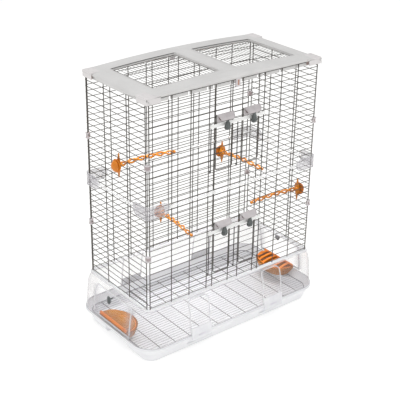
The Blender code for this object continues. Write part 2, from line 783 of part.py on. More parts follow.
def arched_band(name, xs, ys, drops, material):
    start, end = xs
    inner = [x for x in ROOF_STATIONS if start + 0.001 < x < end - 0.001]
    rings = []
    for x in (start, *inner, end):
        high, low = roof_z(x) - drops[0], roof_z(x) - drops[1]
        rings.append([Vector((x, ys[0], low)), Vector((x, ys[1], low)),
                      Vector((x, ys[1], high)), Vector((x, ys[0], high))])
    bm = bmesh.new()
    loft(bm, rings)
    return add_object(name, bm, material)


def column(name, half_x, half_y, radius, low, high, material):
    bm = bmesh.new()
    loft(bm, (rounded_ring(half_x, half_y, radius, low, 4), rounded_ring(half_x, half_y, radius, high, 4)))
    return add_object(name, bm, material)


def arched_column(name, half_x, half_y, radius, low, drop, material):
    body = column(name, half_x, half_y, radius, low, SKY, material)
    wide = (-ROOF_X - OVER, ROOF_X + OVER)
    combine(body, arched_band(name + "_arch", wide, (-FAR, FAR), (drop, FAR), material), "INTERSECT")
    return settle(body)


def hollow(outer, inner):
    combine(outer, inner, "DIFFERENCE")
    return settle(outer)


def make_roof_frame(material):
    roof = hollow(
        arched_column("roof_frame", ROOF_X, ROOF_Y, 0.012, ROOF_FOOT, 0, material),
        arched_column("roof_room", ROOF_X - LIP_WALL, ROOF_Y - LIP_WALL, 0.010, ROOF_FOOT - OVER, ROOF_WALL, material))
    ring_x, ring_y = HALF_X - PANEL_THICK / 2 - RUN, HALF_Y - PANEL_THICK / 2 - RUN
    ring_foot = ROOF_FOOT - RING_DROP
    ring = hollow(
        arched_column("ring", ring_x, ring_y, 0.006, ring_foot, 0.0008, material),
        column("ring_room", ring_x - RING_WALL, ring_y - RING_WALL, 0.004, ring_foot - OVER, SKY, material))
    combine(roof, ring, "UNION")
    cap_foot = ROOF_TOP - CAP_DROP
    outside = PANEL_THICK / 2 + 0.0005
    caps = hollow(
        column("caps", ROOF_X + 0.0001, ROOF_Y + 0.0001, 0.0119, cap_foot, ROOF_FOOT + 0.0015, material),
        column("cap_room", HALF_X + outside, HALF_Y + outside, 0.005, cap_foot - OVER, SKY, material))
    long_cut = ROOF_X - CAP_LENGTH
    deep_cut = ROOF_Y - CAP_WIDTH
    combine(caps, box_set("cap_cut_x", [((-long_cut, -FAR, 0), (long_cut, FAR, SKY))], material), "DIFFERENCE")
    combine(caps, box_set("cap_cut_y", [((-FAR, -deep_cut, 0), (FAR, deep_cut, SKY))], material), "DIFFERENCE")
    combine(roof, settle(caps), "UNION")
    tongues = []
    for side in (-1, 1):
        xs = sorted((side * (ROOF_X - LIP_WALL + 0.0001), side * (ROOF_X - 0.0001)))
        tongues.append(((xs[0], -TONGUE_WIDTH / 2, ROOF_FOOT - TONGUE_DROP),
                        (xs[1], TONGUE_WIDTH / 2, ROOF_FOOT + 0.0012)))
    combine(roof, box_set("tongues", tongues, material), "UNION")
    settle(roof)
    half = WINDOW_DEPTH / 2
    holes = []
    for side in (-1, 1):
        xs = sorted((side * WINDOW_INNER, side * WINDOW_OUTER))
        grow = RING_WALL
        rim = arched_band(f"rim_{side}", (xs[0] - grow, xs[1] + grow), (-half - grow, half + grow),
                          (0.0008, WINDOW_RIM), material)
        combine(roof, rim, "UNION")
        holes.append(((xs[0], -half, 0), (xs[1], half, SKY)))
    settle(roof)
    combine(roof, box_set("windows", holes, material), "DIFFERENCE")
    settle(roof)
    for side in (-1, 1):
        xs = sorted((side * (WINDOW_INNER + 0.001), side * (WINDOW_OUTER - 0.001)))
        for deep in (-1, 1):
            ys = sorted((deep * (half - LEDGE_REACH), deep * (half + 0.001)))
            top = GRILLE_SINK + GRILLE_TALL + GAP
            ledge = arched_band(f"ledge_{side}_{deep}", xs, ys, (top, WINDOW_RIM - 0.0003), material)
            combine(roof, ledge, "UNION")
    return settle(roof)


def make_roof_grille(name, side, material):
    half = WINDOW_DEPTH / 2 - GAP
    left, right = sorted((side * (WINDOW_INNER + GAP), side * (WINDOW_OUTER - GAP)))
    wide = DOOR_WIRE
    low = GRILLE_SINK + GRILLE_TALL
    grille = arched_band(name, (left, right), (-half, -half + wide), (GRILLE_SINK, low), material)
    far = arched_band(name + "_far", (left, right), (half - wide, half), (GRILLE_SINK, low), material)
    combine(grille, far, "UNION")
    ends = []
    for x in (left, right - wide):
        high = min(roof_z(x), roof_z(x + wide)) - GRILLE_SINK
        ends.append(((x, -half + 0.0002, high - GRILLE_TALL + 0.0004), (x + wide, half - 0.0002, high - 0.0002)))
    combine(grille, box_set(name + "_ends", ends, material), "UNION")
    wires = []
    count = int((right - left) / ROOF_WIRE_PITCH)
    first = (left + right) / 2 - (count - 1) * ROOF_WIRE_PITCH / 2
    thin = THIN_WIRE / 2
    for index in range(count):
        x = first + index * ROOF_WIRE_PITCH
        high = roof_z(x) - GRILLE_SINK - 0.0004
        wires.append(((x - thin, -half + wide / 2, high - THIN_WIRE), (x + thin, half - wide / 2, high)))
    combine(grille, box_set(name + "_wires", wires, material), "UNION")
    top = GRILLE_SINK + 0.0004 + THIN_WIRE + GAP + 0.0002
    for place in (-ROOF_BAR_PLACE, ROOF_BAR_PLACE):
        bar = arched_band(f"{name}_bar_{place}", (left + wide / 2, right - wide / 2),
                          (place - 0.001, place + 0.001), (top, low - 0.0003), material)
        combine(grille, bar, "UNION")
    return settle(grille)


# Perches

def perch_path(phase):
    start = PLATE_THICK - 0.001
    end = PERCH_LENGTH - PERCH_TIP / 2
    count = PERCH_TURNS * 8
    points = []
    for step in range(count + 1):
        share = step / count
        turn = 2 * math.pi * PERCH_TURNS * share + phase
        spread = PERCH_SPREAD * min(1, 8 * (1 - share) + 0.25)
        x = start + (end - start) * share
        bow = PERCH_BOW * math.sin(math.pi * share)
        points.append((x, spread * math.cos(turn), bow + spread * math.sin(turn)))
    return points


def make_perch(name, base, tip, stud_reach, material):
    half_tall, half_wide = PLATE_HEIGHT / 2, PLATE_WIDTH / 2
    outline = [(0, half_tall), (0.35, 0.62), (0.85, 0.30), (1.0, 0), (0.85, -0.30), (0.35, -0.62), (0, -half_tall)]
    ring = [(0.0012, half_tall)]
    for wide, tall in outline[1:-1]:
        ring.append((wide * half_wide, tall * half_tall))
    ring.append((0.0012, -half_tall))
    ring += [(-wide, tall) for wide, tall in reversed(ring)]
    bm = bmesh.new()
    loft(bm, [[Vector((x, size * y, size * z)) for y, z in ring] for x, size in
              ((0, 1.0), (PLATE_THICK * 0.5, 1.0), (PLATE_THICK, 0.86))])
    perch = add_object(name, bm, material)
    for phase in (0, math.pi):
        combine(perch, tube(f"{name}_strand", perch_path(phase), PERCH_STRAND, material), "UNION")
    boss = turned(name + "_boss", [(0, 0.0120), (0.0050, 0.0110), (0.0085, 0.0020), (0.0085, -0.0010),
                                   (0, -0.0010)], material, 12)
    move_mesh(boss, Matrix.Translation((PLATE_THICK - 0.001, 0, 0)) @ Matrix.Rotation(math.pi / 2, 4, "Y"))
    combine(perch, boss, "UNION")
    ball = turned(name + "_tip", ball_profile(PERCH_TIP), material, 12)
    move_mesh(ball, Matrix.Translation((PERCH_LENGTH - PERCH_TIP, 0, 0)))
    combine(perch, ball, "UNION")
    bm = bmesh.new()
    spot = Matrix.Translation((0.001 - stud_reach / 2, 0, 0)) @ Matrix.Rotation(math.pi / 2, 4, "Y")
    bmesh.ops.create_cone(bm, cap_ends=True, segments=12, radius1=STUD_RADIUS, radius2=STUD_RADIUS,
                          depth=stud_reach + 0.002, matrix=spot)
    combine(perch, add_object(name + "_stud", bm, material), "UNION")
    settle(perch)
    aim_from_wall(perch, base, tip)
    return perch


def wall_normal(base):
    if abs(base[0]) > HALF_X - 0.02:
        return Vector((-math.copysign(1, base[0]), 0, 0))
    return Vector((0, -math.copysign(1, base[1]), 0))


def aim_from_wall(thing, base, tip):
    normal = wall_normal(base)
    inside = Vector(base) + normal * (PANEL_THICK / 2 + GAP)
    reach = Vector(tip) - inside
    across = Vector((0, 0, 1)).cross(normal)
    slope_side = reach.dot(across) / PERCH_LENGTH
    slope_up = reach.z / PERCH_LENGTH
    for vertex in thing.data.vertices:
        along = max(vertex.co.x - 0.010, 0)
        vertex.co.y += along * slope_side
        vertex.co.z += along * slope_up
    turn = math.atan2(normal.y, normal.x)
    thing.rotation_euler = (0, 0, turn)
    thing.location = inside


def make_nut(name, base, material):
    normal = wall_normal(base)
    profile = [(0, NUT_HEIGHT), (0.30 * NUT_RADIUS, NUT_HEIGHT * 0.97), (0.62 * NUT_RADIUS, NUT_HEIGHT * 0.72),
               (0.80 * NUT_RADIUS, NUT_HEIGHT * 0.42), (NUT_RADIUS, NUT_HEIGHT * 0.20), (NUT_RADIUS, 0), (0, 0)]
    nut = turned(name, profile, material, 20)
    bore = turned(name + "_bore", [(0, STUD_LENGTH), (STUD_RADIUS + GAP, STUD_LENGTH),
                                   (STUD_RADIUS + GAP, -OVER), (0, -OVER)], material, 12)
    combine(nut, bore, "DIFFERENCE")
    settle(nut)
    turn = math.atan2(-normal.y, -normal.x)
    move_mesh(nut, Matrix.Rotation(math.pi / 2, 4, "Y"))
    nut.rotation_euler = (0, 0, turn)
    nut.location = Vector(base) - normal * (PANEL_THICK / 2 + GAP)
    return nut


def make_perches(material):
    for name, base, tip in PERCHES:
        reach = PANEL_THICK + 2 * GAP + STUD_LENGTH - 0.001
        make_perch(f"perch_{name}", base, tip, reach, material)
        make_nut(f"perch_nut_{name}", base, material)


# Feeding cups

def cup_ring(inset, scale, z, depth=CUP_DEPTH):
    ring = half_ring((depth - 2 * inset) * scale, (CUP_WIDTH / 2 - inset) * scale, z)
    return [Vector((point.x + inset, point.y, point.z)) for point in ring]


def make_cup(name, side, material):
    bm = bmesh.new()
    loft(bm, (
        cup_ring(CUP_FOOT_INSET, CUP_FOOT_SCALE, 0),
        cup_ring(0, 1.0, CUP_HEIGHT * 0.75),
        cup_ring(0, 1.0, CUP_HEIGHT),
        cup_ring(CUP_WALL, 1.0, CUP_HEIGHT),
        cup_ring(CUP_FOOT_INSET + CUP_WALL, CUP_FOOT_SCALE, CUP_WALL),
    ))
    cup = add_object(name, bm, material)
    cup.location = (side * CUP_FACE, 0, GRILLE_TOP + GAP)
    cup.rotation_euler = (0, 0, math.pi if side > 0 else 0)
    return cup


def make_cup_hood(name, side, material):
    bm = bmesh.new()
    rise = HOOD_RISE
    loft(bm, (
        cup_ring(0.012, 1.0, rise - CUP_WALL, HOOD_DEPTH),
        cup_ring(CUP_WALL + 0.002, 1.0, 0, HOOD_DEPTH),
        cup_ring(0.0005, 1.0, 0, HOOD_DEPTH),
        cup_ring(0.002, 1.0, rise * 0.6, HOOD_DEPTH),
        cup_ring(0.009, 1.0, rise, HOOD_DEPTH),
    ))
    hood = add_object(name, bm, material)
    near, far, low, high = HOOD_MOUTH
    slots = [((near, low, -OVER), (far, high, rise + OVER))]
    if side > 0:
        slots = []
        pitch = CUP_WIDTH * 0.76 / HOOD_SLOTS
        for index in range(HOOD_SLOTS):
            y = (index - (HOOD_SLOTS - 1) / 2) * pitch
            reach = far - 0.010 * abs(index - (HOOD_SLOTS - 1) / 2)
            slots.append(((near, y - HOOD_SLOT_WIDTH / 2, -OVER), (reach, y + HOOD_SLOT_WIDTH / 2, rise + OVER)))
    combine(hood, box_set(name + "_slots", slots, material), "DIFFERENCE")
    settle(hood)
    hood.location = (side * CUP_FACE, 0, GRILLE_TOP + 2 * GAP + CUP_HEIGHT)
    hood.rotation_euler = (0, 0, math.pi if side > 0 else 0)
    return hood


def make_end_knob(name, side, material):
    radius = END_KNOB_RADIUS
    bm = bmesh.new()
    profile = ((0.35, 0), (0.9, 0.0012), (1.0, 0.0030), (1.0, 0.0062), (0.82, 0.0080), (0.3, 0.0088))
    rings = []
    for size, out in profile:
        ring = []
        for step in range(16):
            turn = 2 * math.pi * step / 16
            tall = 1.0 if math.sin(turn) > 0 else 1.35
            ring.append(Vector((out, size * radius * math.cos(turn), size * radius * tall * math.sin(turn))))
        rings.append(ring)
    loft(bm, rings)
    knob = add_object(name, bm, material)
    bm = bmesh.new()
    start = -0.0120
    spot = Matrix.Translation(((start + 0.001) / 2, 0, 0)) @ Matrix.Rotation(math.pi / 2, 4, "Y")
    bmesh.ops.create_cone(bm, cap_ends=True, segments=12, radius1=PIN_RADIUS, radius2=PIN_RADIUS,
                          depth=0.001 - start, matrix=spot)
    combine(knob, add_object(name + "_pin", bm, material), "UNION")
    settle(knob)
    if side < 0:
        move_mesh(knob, Matrix.Rotation(math.pi, 4, "Z"))
    face = HALF_X + skirt_outset(END_KNOB_HEIGHT - 1.4 * END_KNOB_RADIUS) + KNOB_CLEAR
    knob.location = (side * face, END_KNOB_PLACE, END_KNOB_HEIGHT)
    return knob


def main():
    clear_scene()
    wire = make_material("wire", (0.16, 0.15, 0.145), 0.35, 0.6)
    white = make_material("white_plastic", (0.80, 0.80, 0.79), 0.45)
    roof_white = make_material("roof_plastic", (0.70, 0.70, 0.70), 0.5)
    clear = make_material("clear_plastic", (0.86, 0.85, 0.90), 0.1, 0, 0.3)
    latch = make_material("latch_plastic", (0.88, 0.88, 0.90), 0.3, 0, 0.7)
    strip = make_material("strip_plastic", (0.85, 0.85, 0.84), 0.4)
    orange = make_material("orange_plastic", (0.80, 0.26, 0.02), 0.4)
    bowl = make_material("bowl_plastic", (0.80, 0.33, 0.04), 0.25, 0, 0.75)
    hood = make_material("handle_plastic", (0.62, 0.58, 0.59), 0.45)
    knob = make_material("knob_plastic", (0.07, 0.075, 0.075), 0.25)
    rod = make_material("rod_steel", (0.08, 0.08, 0.08), 0.3, 0.8)

    make_pan(white)
    make_skirt(clear)
    make_floor_grille(wire)
    for side, name in ((-1, "left"), (1, "right")):
        make_end_door(f"end_door_{name}", side, clear)
        make_end_knob(f"end_knob_{name}", side, knob)
        make_latch(f"latch_front_{name}", side, -1, latch)
        make_latch(f"latch_back_{name}", side, 1, latch)
        make_cup(f"cup_{name}", side, bowl)
        make_cup_hood(f"cup_hood_{name}", side, orange)
        make_roof_grille(f"roof_grille_{name}", side, wire)
        make_bracket(f"bracket_front_{name}", side, -1, clear)
        make_bracket(f"bracket_back_{name}", side, 1, clear)
    make_walls(wire)
    for side in ("front", "back", "left", "right"):
        make_strip(f"strip_{side}", side, strip)
    make_doors(wire, hood, knob, strip, rod)
    make_roof_frame(roof_white)
    make_perches(orange)


main()
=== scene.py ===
from math import asin, copysign, cos, pi, radians, sin, sqrt

import bmesh
import bpy
from mathutils import Matrix, Vector


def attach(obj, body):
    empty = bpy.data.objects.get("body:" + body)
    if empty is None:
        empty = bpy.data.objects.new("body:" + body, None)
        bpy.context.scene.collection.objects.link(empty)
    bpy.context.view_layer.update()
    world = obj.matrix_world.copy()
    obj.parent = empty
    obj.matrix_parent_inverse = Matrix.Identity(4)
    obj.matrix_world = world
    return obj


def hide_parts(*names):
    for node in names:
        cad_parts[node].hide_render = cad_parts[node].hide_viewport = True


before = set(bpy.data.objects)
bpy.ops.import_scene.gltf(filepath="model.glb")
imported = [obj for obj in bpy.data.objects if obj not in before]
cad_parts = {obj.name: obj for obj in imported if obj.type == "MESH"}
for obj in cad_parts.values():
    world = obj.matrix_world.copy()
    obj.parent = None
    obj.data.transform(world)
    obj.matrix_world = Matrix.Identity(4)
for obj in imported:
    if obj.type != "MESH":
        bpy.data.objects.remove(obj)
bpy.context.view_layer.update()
sides = {"left": -1, "right": 1}
faces = {"front": -1, "back": 1}
walls = (*faces, *sides)


# colours are written as sRGB hex, Blender wants linear light
def linear(hexColour):
    parts = [int(hexColour[start:start + 2], 16) / 255 for start in (1, 3, 5)]
    return (*(part / 12.92 if part <= 0.04045 else ((part + 0.055) / 1.055) ** 2.4 for part in parts), 1.0)


def addNode(tree, kind, settings=None, links=None):
    node = tree.nodes.new(kind)
    for key, value in (settings or {}).items():
        if key in node.inputs:
            node.inputs[key].default_value = value
        else:
            setattr(node, key, value)
    for key, source in (links or {}).items():
        tree.links.new(source, node.inputs[key])
    return node


# one finish per real material: sRGB colour and shade, roughness, the slow drift of colour and the surface grain in mm,
# bump, and what only some have. "held" is a painted glow that keeps thin pale plastic pale where it lies in shade;
# "clear" and "edge" are how solid clear plastic looks face on and edge on, "rim" its colour edge on. The real grain
# of moulded plastic is finer than 0.3 mm, which doesn't show, so it is drawn at about 1 mm, and on clear parts as a
# slow ripple of 3 to 6 mm
finishes = {
    # powder coated steel wire: dark warm grey, half gloss, faint orange peel
    "powderCoatedWire": ("#59544f", "#46423d", 0.36, 40, 0.9, 0.10, dict(metal=0.35)),
    # zinc plated steel of the thin floor wires: cooler and paler than the coated ones
    "zincWire": ("#98989c", "#87878b", 0.40, 40, 0.9, 0.10, dict(metal=0.35)),
    # black coated steel: the guide rods, glossier than the wires
    "blackCoatedRod": ("#52504e", "#3b3937", 0.28, 30, 0.7, 0.06, dict(metal=0.3)),
    # injection moulded ABS of the roof: cool light grey, satin, fine spark texture; its caps are smoother and paler
    "satinRoofAbs": ("#d6d5d4", "#cecdcc", 0.46, 90, 0.8, 0.10),
    "roofCapAbs": ("#dedbdb", "#d6d2d2", 0.40, 60, 0.8, 0.08),
    # moulded polystyrene tray: near white, smooth, with a painted glow
    "trayPolystyrene": ("#dcdcde", "#d5d5d8", 0.30, 120, 1.6, 0.05, dict(held=0.14)),
    # injection moulded ABS of strips and guide bars: clean white, satin
    "whiteAbs": ("#f4f4f3", "#eaeae9", 0.34, 50, 1.0, 0.06),
    # moulded nylon of the small clips: pale warm grey and waxy; the shade in their recessed middles is painted grey and
    # brown, and that in the gaps beside the roof caps dark brown
    "clipNylon": ("#d2cdcf", "#c5bfc1", 0.36, 20, 0.8, 0.08),
    "clipShade": ("#b3a6a6", "#a39596", 0.42, 14, 0.8, 0.08),
    "clipRecessShade": ("#b68d7c", "#a27a6a", 0.45, 12, 0.8, 0.08),
    "capGapShade": ("#8c7772", "#6f5d59", 0.5, 12, 0.8, 0.10),
    # clear moulded polystyrene: faint lilac, hardly seen face on; the light that its thick edges and the skirt's rail
    # catch is painted near white on them
    "clearPolystyrene": ("#b0acae", "#a6a2a4", 0.06, 140, 6.0, 0.01,
                         dict(clear=0.10, edge=0.46, rim="#a29ea6", held=0.30)),
    "clearFlap": ("#c4c1c4", "#bab7ba", 0.06, 140, 6.0, 0.01, dict(clear=0.035, edge=0.44, rim="#a29ea6", held=0.30)),
    "clearEdge": ("#fbfbfd", "#f2f2f6", 0.12, 60, 3.0, 0.03, dict(clear=0.42, edge=0.85, rim="#b9b6be")),
    "skirtRail": ("#fdfdfe", "#f6f6f9", 0.14, 60, 3.0, 0.03, dict(clear=0.90, edge=0.96)),
    "clearBracket": ("#c6c2c7", "#b8b4ba", 0.14, 24, 3.0, 0.03, dict(clear=0.27, edge=0.80, rim="#99959c")),
    # frosted polystyrene of the latches: milky, soft gloss; a darker grey paints the shade in their recess
    "frostedLatch": ("#f9f9fb", "#eeeef2", 0.30, 30, 1.2, 0.10, dict(clear=0.72, edge=0.95)),
    "frostedShade": ("#cfccd3", "#c4c1c9", 0.34, 20, 1.2, 0.10),
    # smoke tinted polystyrene: grey, glossy, half seen through
    "smokyClear": ("#9a9ea0", "#868a8c", 0.12, 20, 2.0, 0.03, dict(clear=0.62, edge=0.92)),
    # dyed polypropylene: saturated orange, soft gloss
    "orangePolypropylene": ("#e0840c", "#c26a06", 0.42, 24, 1.1, 0.10),
    # the perch strands drift from gold to brown along the twist
    "orangeStrand": ("#dd8a12", "#a8600c", 0.40, 16, 1.1, 0.10),
    # the hoods' orange, painted lighter than the cups' orange to offset the shade under the skirt
    "paintedLitHoodOrange": ("#f48c0a", "#e87a06", 0.34, 24, 1.1, 0.10),
    # tinted polystyrene of the cups: honey brown, glossy, darker edge on
    "amberBowl": ("#c47f22", "#b4701b", 0.16, 50, 3.0, 0.03, dict(clear=0.80, edge=0.97)),
    # moulded ABS of the handles: pale lilac grey, satin; the shade inside their hoods is painted brown
    "lilacAbs": ("#c4bfc0", "#b5afb1", 0.40, 24, 0.9, 0.08),
    "paintedHoodShade": ("#75655f", "#5b4d48", 0.5, 14, 0.9, 0.10),
    # polished dark ABS of the turn knobs: near black with a green cast, glossy
    "smokedKnob": ("#5f6463", "#414545", 0.20, 10, 0.9, 0.05),
}


def makeFinish(name, colourHex, shadeHex, roughness, drift, texture, relief, look={}):
    material = bpy.data.materials.new(name)
    material.use_nodes = True
    tree = material.node_tree
    tree.nodes.clear()
    place = addNode(tree, "ShaderNodeTexCoord").outputs["Object"]
    cloud = addNode(tree, "ShaderNodeTexNoise", {"Scale": 1000 / drift, "Detail": 3.0}, {"Vector": place})
    grain = addNode(tree, "ShaderNodeTexNoise", {"Scale": 1000 / texture, "Detail": 2.0}, {"Vector": place})
    blend = addNode(tree, "ShaderNodeMapRange", {"From Min": 0.3, "From Max": 0.7}, {"Value": cloud.outputs[0]})
    colour = addNode(tree, "ShaderNodeMix", {"data_type": "RGBA"}, {0: blend.outputs[0]})
    colour.inputs[6].default_value = linear(colourHex)
    colour.inputs[7].default_value = linear(shadeHex)
    rough = addNode(tree, "ShaderNodeMapRange", {"To Min": roughness * 0.85, "To Max": roughness * 1.2},
                    {"Value": grain.outputs[0]})
    bump = addNode(tree, "ShaderNodeBump", {"Strength": relief, "Distance": 0.0004}, {"Height": grain.outputs[0]})
    shader = addNode(tree, "ShaderNodeBsdfPrincipled", {"Metallic": look.get("metal", 0.0)},
                     {"Base Color": colour.outputs[2], "Roughness": rough.outputs[0], "Normal": bump.outputs[0]})
    if "held" in look:  # painted glow: the base colour is emitted so the shaded side stays pale
        tree.links.new(colour.outputs[2], shader.inputs["Emission Color"])
        shader.inputs["Emission Strength"].default_value = look["held"]
    if "clear" in look:
        facing = addNode(tree, "ShaderNodeLayerWeight", {"Blend": 0.25})
        alpha = addNode(tree, "ShaderNodeMapRange",
                        {"interpolation_type": "SMOOTHSTEP", "From Min": 0.2, "From Max": 0.88,
                         "To Min": look["clear"], "To Max": look["edge"]}, {"Value": facing.outputs["Facing"]})
        tree.links.new(alpha.outputs[0], shader.inputs["Alpha"])
        if "rim" in look:  # clear plastic looks darker where it is seen along its length
            grazing = addNode(tree, "ShaderNodeMapRange", {"From Min": 0.25, "From Max": 0.75},
                              {"Value": facing.outputs["Facing"]})
            rim = addNode(tree, "ShaderNodeMix", {"data_type": "RGBA"}, {0: grazing.outputs[0]})
            tree.links.new(colour.outputs[2], rim.inputs[6])
            rim.inputs[7].default_value = linear(look["rim"])
            tree.links.new(rim.outputs[2], shader.inputs["Base Color"])
    addNode(tree, "ShaderNodeOutputMaterial", {}, {"Surface": shader.outputs[0]})
    return material


finish = {name: makeFinish(name, *row) for name, row in finishes.items()}
print("finishes:", len(finish))


def addObject(name, data):
    thing = bpy.data.objects.new(name, data)
    bpy.context.scene.collection.objects.link(thing)
    return thing


# mesh helpers: every shape is drawn in millimetres in the part's own frame and scaled at the end
def makePiece(name, bm, finishName, body, nodes=(), sharp=35, wall=None):  # wall: thickness and its side
    bmesh.ops.recalc_face_normals(bm, faces=bm.faces)
    bmesh.ops.scale(bm, vec=(0.001, 0.001, 0.001), verts=bm.verts)
    mesh = bpy.data.meshes.new(name)
    bm.to_mesh(mesh)
    bm.free()
    mesh.materials.append(finish[finishName])
    mesh.shade_smooth()
    mesh.set_sharp_from_angle(angle=radians(sharp))
    piece = addObject(name, mesh)
    if wall:
        solidify(piece, *wall)
    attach(piece, body)
    if nodes:
        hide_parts(*nodes)
    return piece


def addRings(bm, rings, closed=False, loop=True):
    rows = [[bm.verts.new(point) for point in ring] for ring in rings]
    for first, second in zip(rows, rows[1:] + rows[:1] if closed else rows[1:]):
        count = len(first)
        for index in range(count if loop else count - 1):
            after = (index + 1) % count
            bm.faces.new((first[index], first[after], second[after], second[index]))
    if loop and not closed:
        bm.faces.new(rows[0][::-1])
        bm.faces.new(rows[-1])


def circle(steps, shift=0):
    return [2 * pi * (step + shift) / steps for step in range(steps)]


def addWire(bm, points, radius, segments=8, swell=None, domed=False, loop=False, flat=1.0):
    points = [Vector(point) for point in points]
    count = len(points)
    tangents = []
    for index in range(count):
        before = points[index - 1] if index or loop else points[0]
        after = points[(index + 1) % count] if index < count - 1 or loop else points[-1]
        tangents.append((after - before).normalized())
    normal = tangents[0].orthogonal().normalized()
    if abs(tangents[0].z) < 0.9:
        normal = (Vector((0, 0, 1)) - tangents[0] * tangents[0].z).normalized()
    stations = []
    for index, (point, tangent) in enumerate(zip(points, tangents)):
        normal = (normal - tangent * normal.dot(tangent)).normalized()
        size = radius * (swell[index] if swell else 1)
        stations.append((point, tangent, normal.copy(), size))
    if domed:  # two smaller rings beyond each end
        ends = [[(point + sign * tangent * size * reach, tangent, across, size * share)
                 for reach, share in ((0.70, 0.75), (0.95, 0.35))]
                for sign, (point, tangent, across, size) in ((-1, stations[0]), (1, stations[-1]))]
        stations = ends[0][::-1] + stations + ends[1]
    rings = []
    for point, tangent, across, size in stations:
        third = tangent.cross(across)
        rings.append([point + across * size * flat * cos(turn) + third * size * sin(turn) for turn in circle(segments)])
    addRings(bm, rings, closed=loop)


def addBlock(bm, low, high, bevel=0.6, segments=2):
    size = [abs(high[axis] - low[axis]) for axis in range(3)]
    middle = [(high[axis] + low[axis]) / 2 for axis in range(3)]
    made = bmesh.ops.create_cube(bm, size=1.0)["verts"]
    bmesh.ops.scale(bm, vec=size, verts=made)
    bmesh.ops.translate(bm, vec=middle, verts=made)
    edges = list(dict.fromkeys(edge for vert in made for edge in vert.link_edges))  # once each, in a fixed order
    bevel = min(bevel, min(size) * 0.45)
    bmesh.ops.bevel(bm, geom=edges, offset=bevel, segments=segments, profile=0.5, affect="EDGES")


def addMirrored(bm, turn, low, high, bevel=0.6, segments=2):  # corners given for +x and +y, turn is the real signs
    addBlock(bm, *((turn[0] * x, turn[1] * y, z) for x, y, z in (low, high)), bevel, segments)


def ballProfile(radius, steps):
    turns = [pi * step / steps for step in range(steps + 1)]
    return [(radius * sin(turn), radius * cos(turn)) for turn in turns]


def bothSides(points):  # a line up one side and down the other
    return [(-across, z) for across, z in points] + [(across, z) for across, z in reversed(points)]


def addLathe(bm, profile, steps, place, lobes=0, lobeDepth=0.0):
    rings = []
    for radius, height in profile:
        sizes = [max(radius, 0.02) * (1 - lobeDepth * (0.5 - 0.5 * cos(lobes * turn))) for turn in circle(steps)]
        rings.append([place @ Vector((size * cos(turn), size * sin(turn), height))
                      for size, turn in zip(sizes, circle(steps))])
    addRings(bm, rings)


def roundRing(halfX, halfY, radius, z, steps=10, marksX=(), marksY=()):
    points = []
    for signX, signY, start in ((1, 1, 0), (-1, 1, 90), (-1, -1, 180), (1, -1, 270)):
        for step in range(steps + 1):
            turn = radians(start + 90 * step / steps)
            points.append(Vector((signX * (halfX - radius) + radius * cos(turn),
                                  signY * (halfY - radius) + radius * sin(turn), z)))
        if start in (0, 180):
            points += [Vector((x, signY * halfY, z)) for x in sorted(marksX, reverse=start == 0)]
        else:
            points += [Vector((signX * halfX, y, z)) for y in sorted(marksY, reverse=start == 90)]
    return points


# camera: the photograph's own viewing angle, seen from the front left and above
camera = dict(place=(-1.8947, -2.3538, 1.8756), turn=38.68, tip=25.60, roll=0.97, lens=87.4, sensor=36.0)


def placeCamera():
    turn, tip, roll = (radians(camera[key]) for key in ("turn", "tip", "roll"))
    ahead = Vector((sin(turn) * cos(tip), cos(turn) * cos(tip), -sin(tip)))
    right = Vector((cos(turn), -sin(turn), 0))
    up = right.cross(ahead)
    rolledRight = cos(roll) * right + sin(roll) * up
    rolledUp = -sin(roll) * right + cos(roll) * up
    data = bpy.data.cameras.new("camera")
    data.lens = camera["lens"]
    data.sensor_width = camera["sensor"]
    data.clip_end = 100
    thing = addObject("camera", data)
    turned = Matrix((rolledRight, rolledUp, -ahead)).transposed().to_4x4()
    thing.matrix_world = Matrix.Translation(Vector(camera["place"])) @ turned
    bpy.context.scene.camera = thing


# studio: white sweep, even sky light, one broad key from above the camera's left
studio = dict(sky="#ffffff", skyPower=0.82, floor="#fbfbfa", rough=0.9, glow=0.22,
              lights=((-1.6, -1.4, 3.2, 2.4, 17), (2.6, -2.0, 2.2, 1.8, 7), (0.4, 2.4, 2.6, 2.0, 6)))
trayLamp = dict(place=(0, 0, 0.885), wide=0.68, deep=0.30, spread=62, power=1.45)  # hangs under the roof


def addLamp(name, place, size, power):
    data = bpy.data.lights.new(name, "AREA")
    data.size = size
    data.energy = power
    lamp = addObject(name, data)
    lamp.location = place
    return lamp


def buildStudio():
    world = bpy.data.worlds.new("studio")
    world.use_nodes = True
    ground = world.node_tree.nodes["Background"]
    ground.inputs[0].default_value = linear(studio["sky"])
    ground.inputs[1].default_value = studio["skyPower"]
    bpy.context.scene.world = world
    bm = bmesh.new()
    bmesh.ops.create_grid(bm, x_segments=2, y_segments=2, size=20)
    mesh = bpy.data.meshes.new("floor")
    bm.to_mesh(mesh)
    bm.free()
    paper = bpy.data.materials.new("studioPaper")
    paper.use_nodes = True
    shader = paper.node_tree.nodes["Principled BSDF"]
    white = linear(studio["floor"])
    for key, value in (("Base Color", white), ("Roughness", studio["rough"]), ("Emission Color", white),
                       ("Emission Strength", studio["glow"])):  # lit from behind, so the shadow stays faint
        shader.inputs[key].default_value = value
    mesh.materials.append(paper)
    floor = addObject("floor", mesh)
    floor.location.z = -0.0005
    for x, y, z, size, power in studio["lights"]:
        lamp = addLamp("softbox", (x, y, z), size, power)
        lamp.rotation_euler = (Vector((0, 0, 0.45)) - lamp.location).to_track_quat("-Z", "Y").to_euler()
    lamp = addLamp("trayLamp", trayLamp["place"], trayLamp["wide"], trayLamp["power"])
    lamp.visible_camera = False
    lamp.data.shape = "RECTANGLE"
    lamp.data.size_y = trayLamp["deep"]
    lamp.data.spread = radians(trayLamp["spread"])
    bpy.context.scene.view_settings.view_transform = "Standard"


placeCamera()
buildStudio()
print("camera and studio placed")

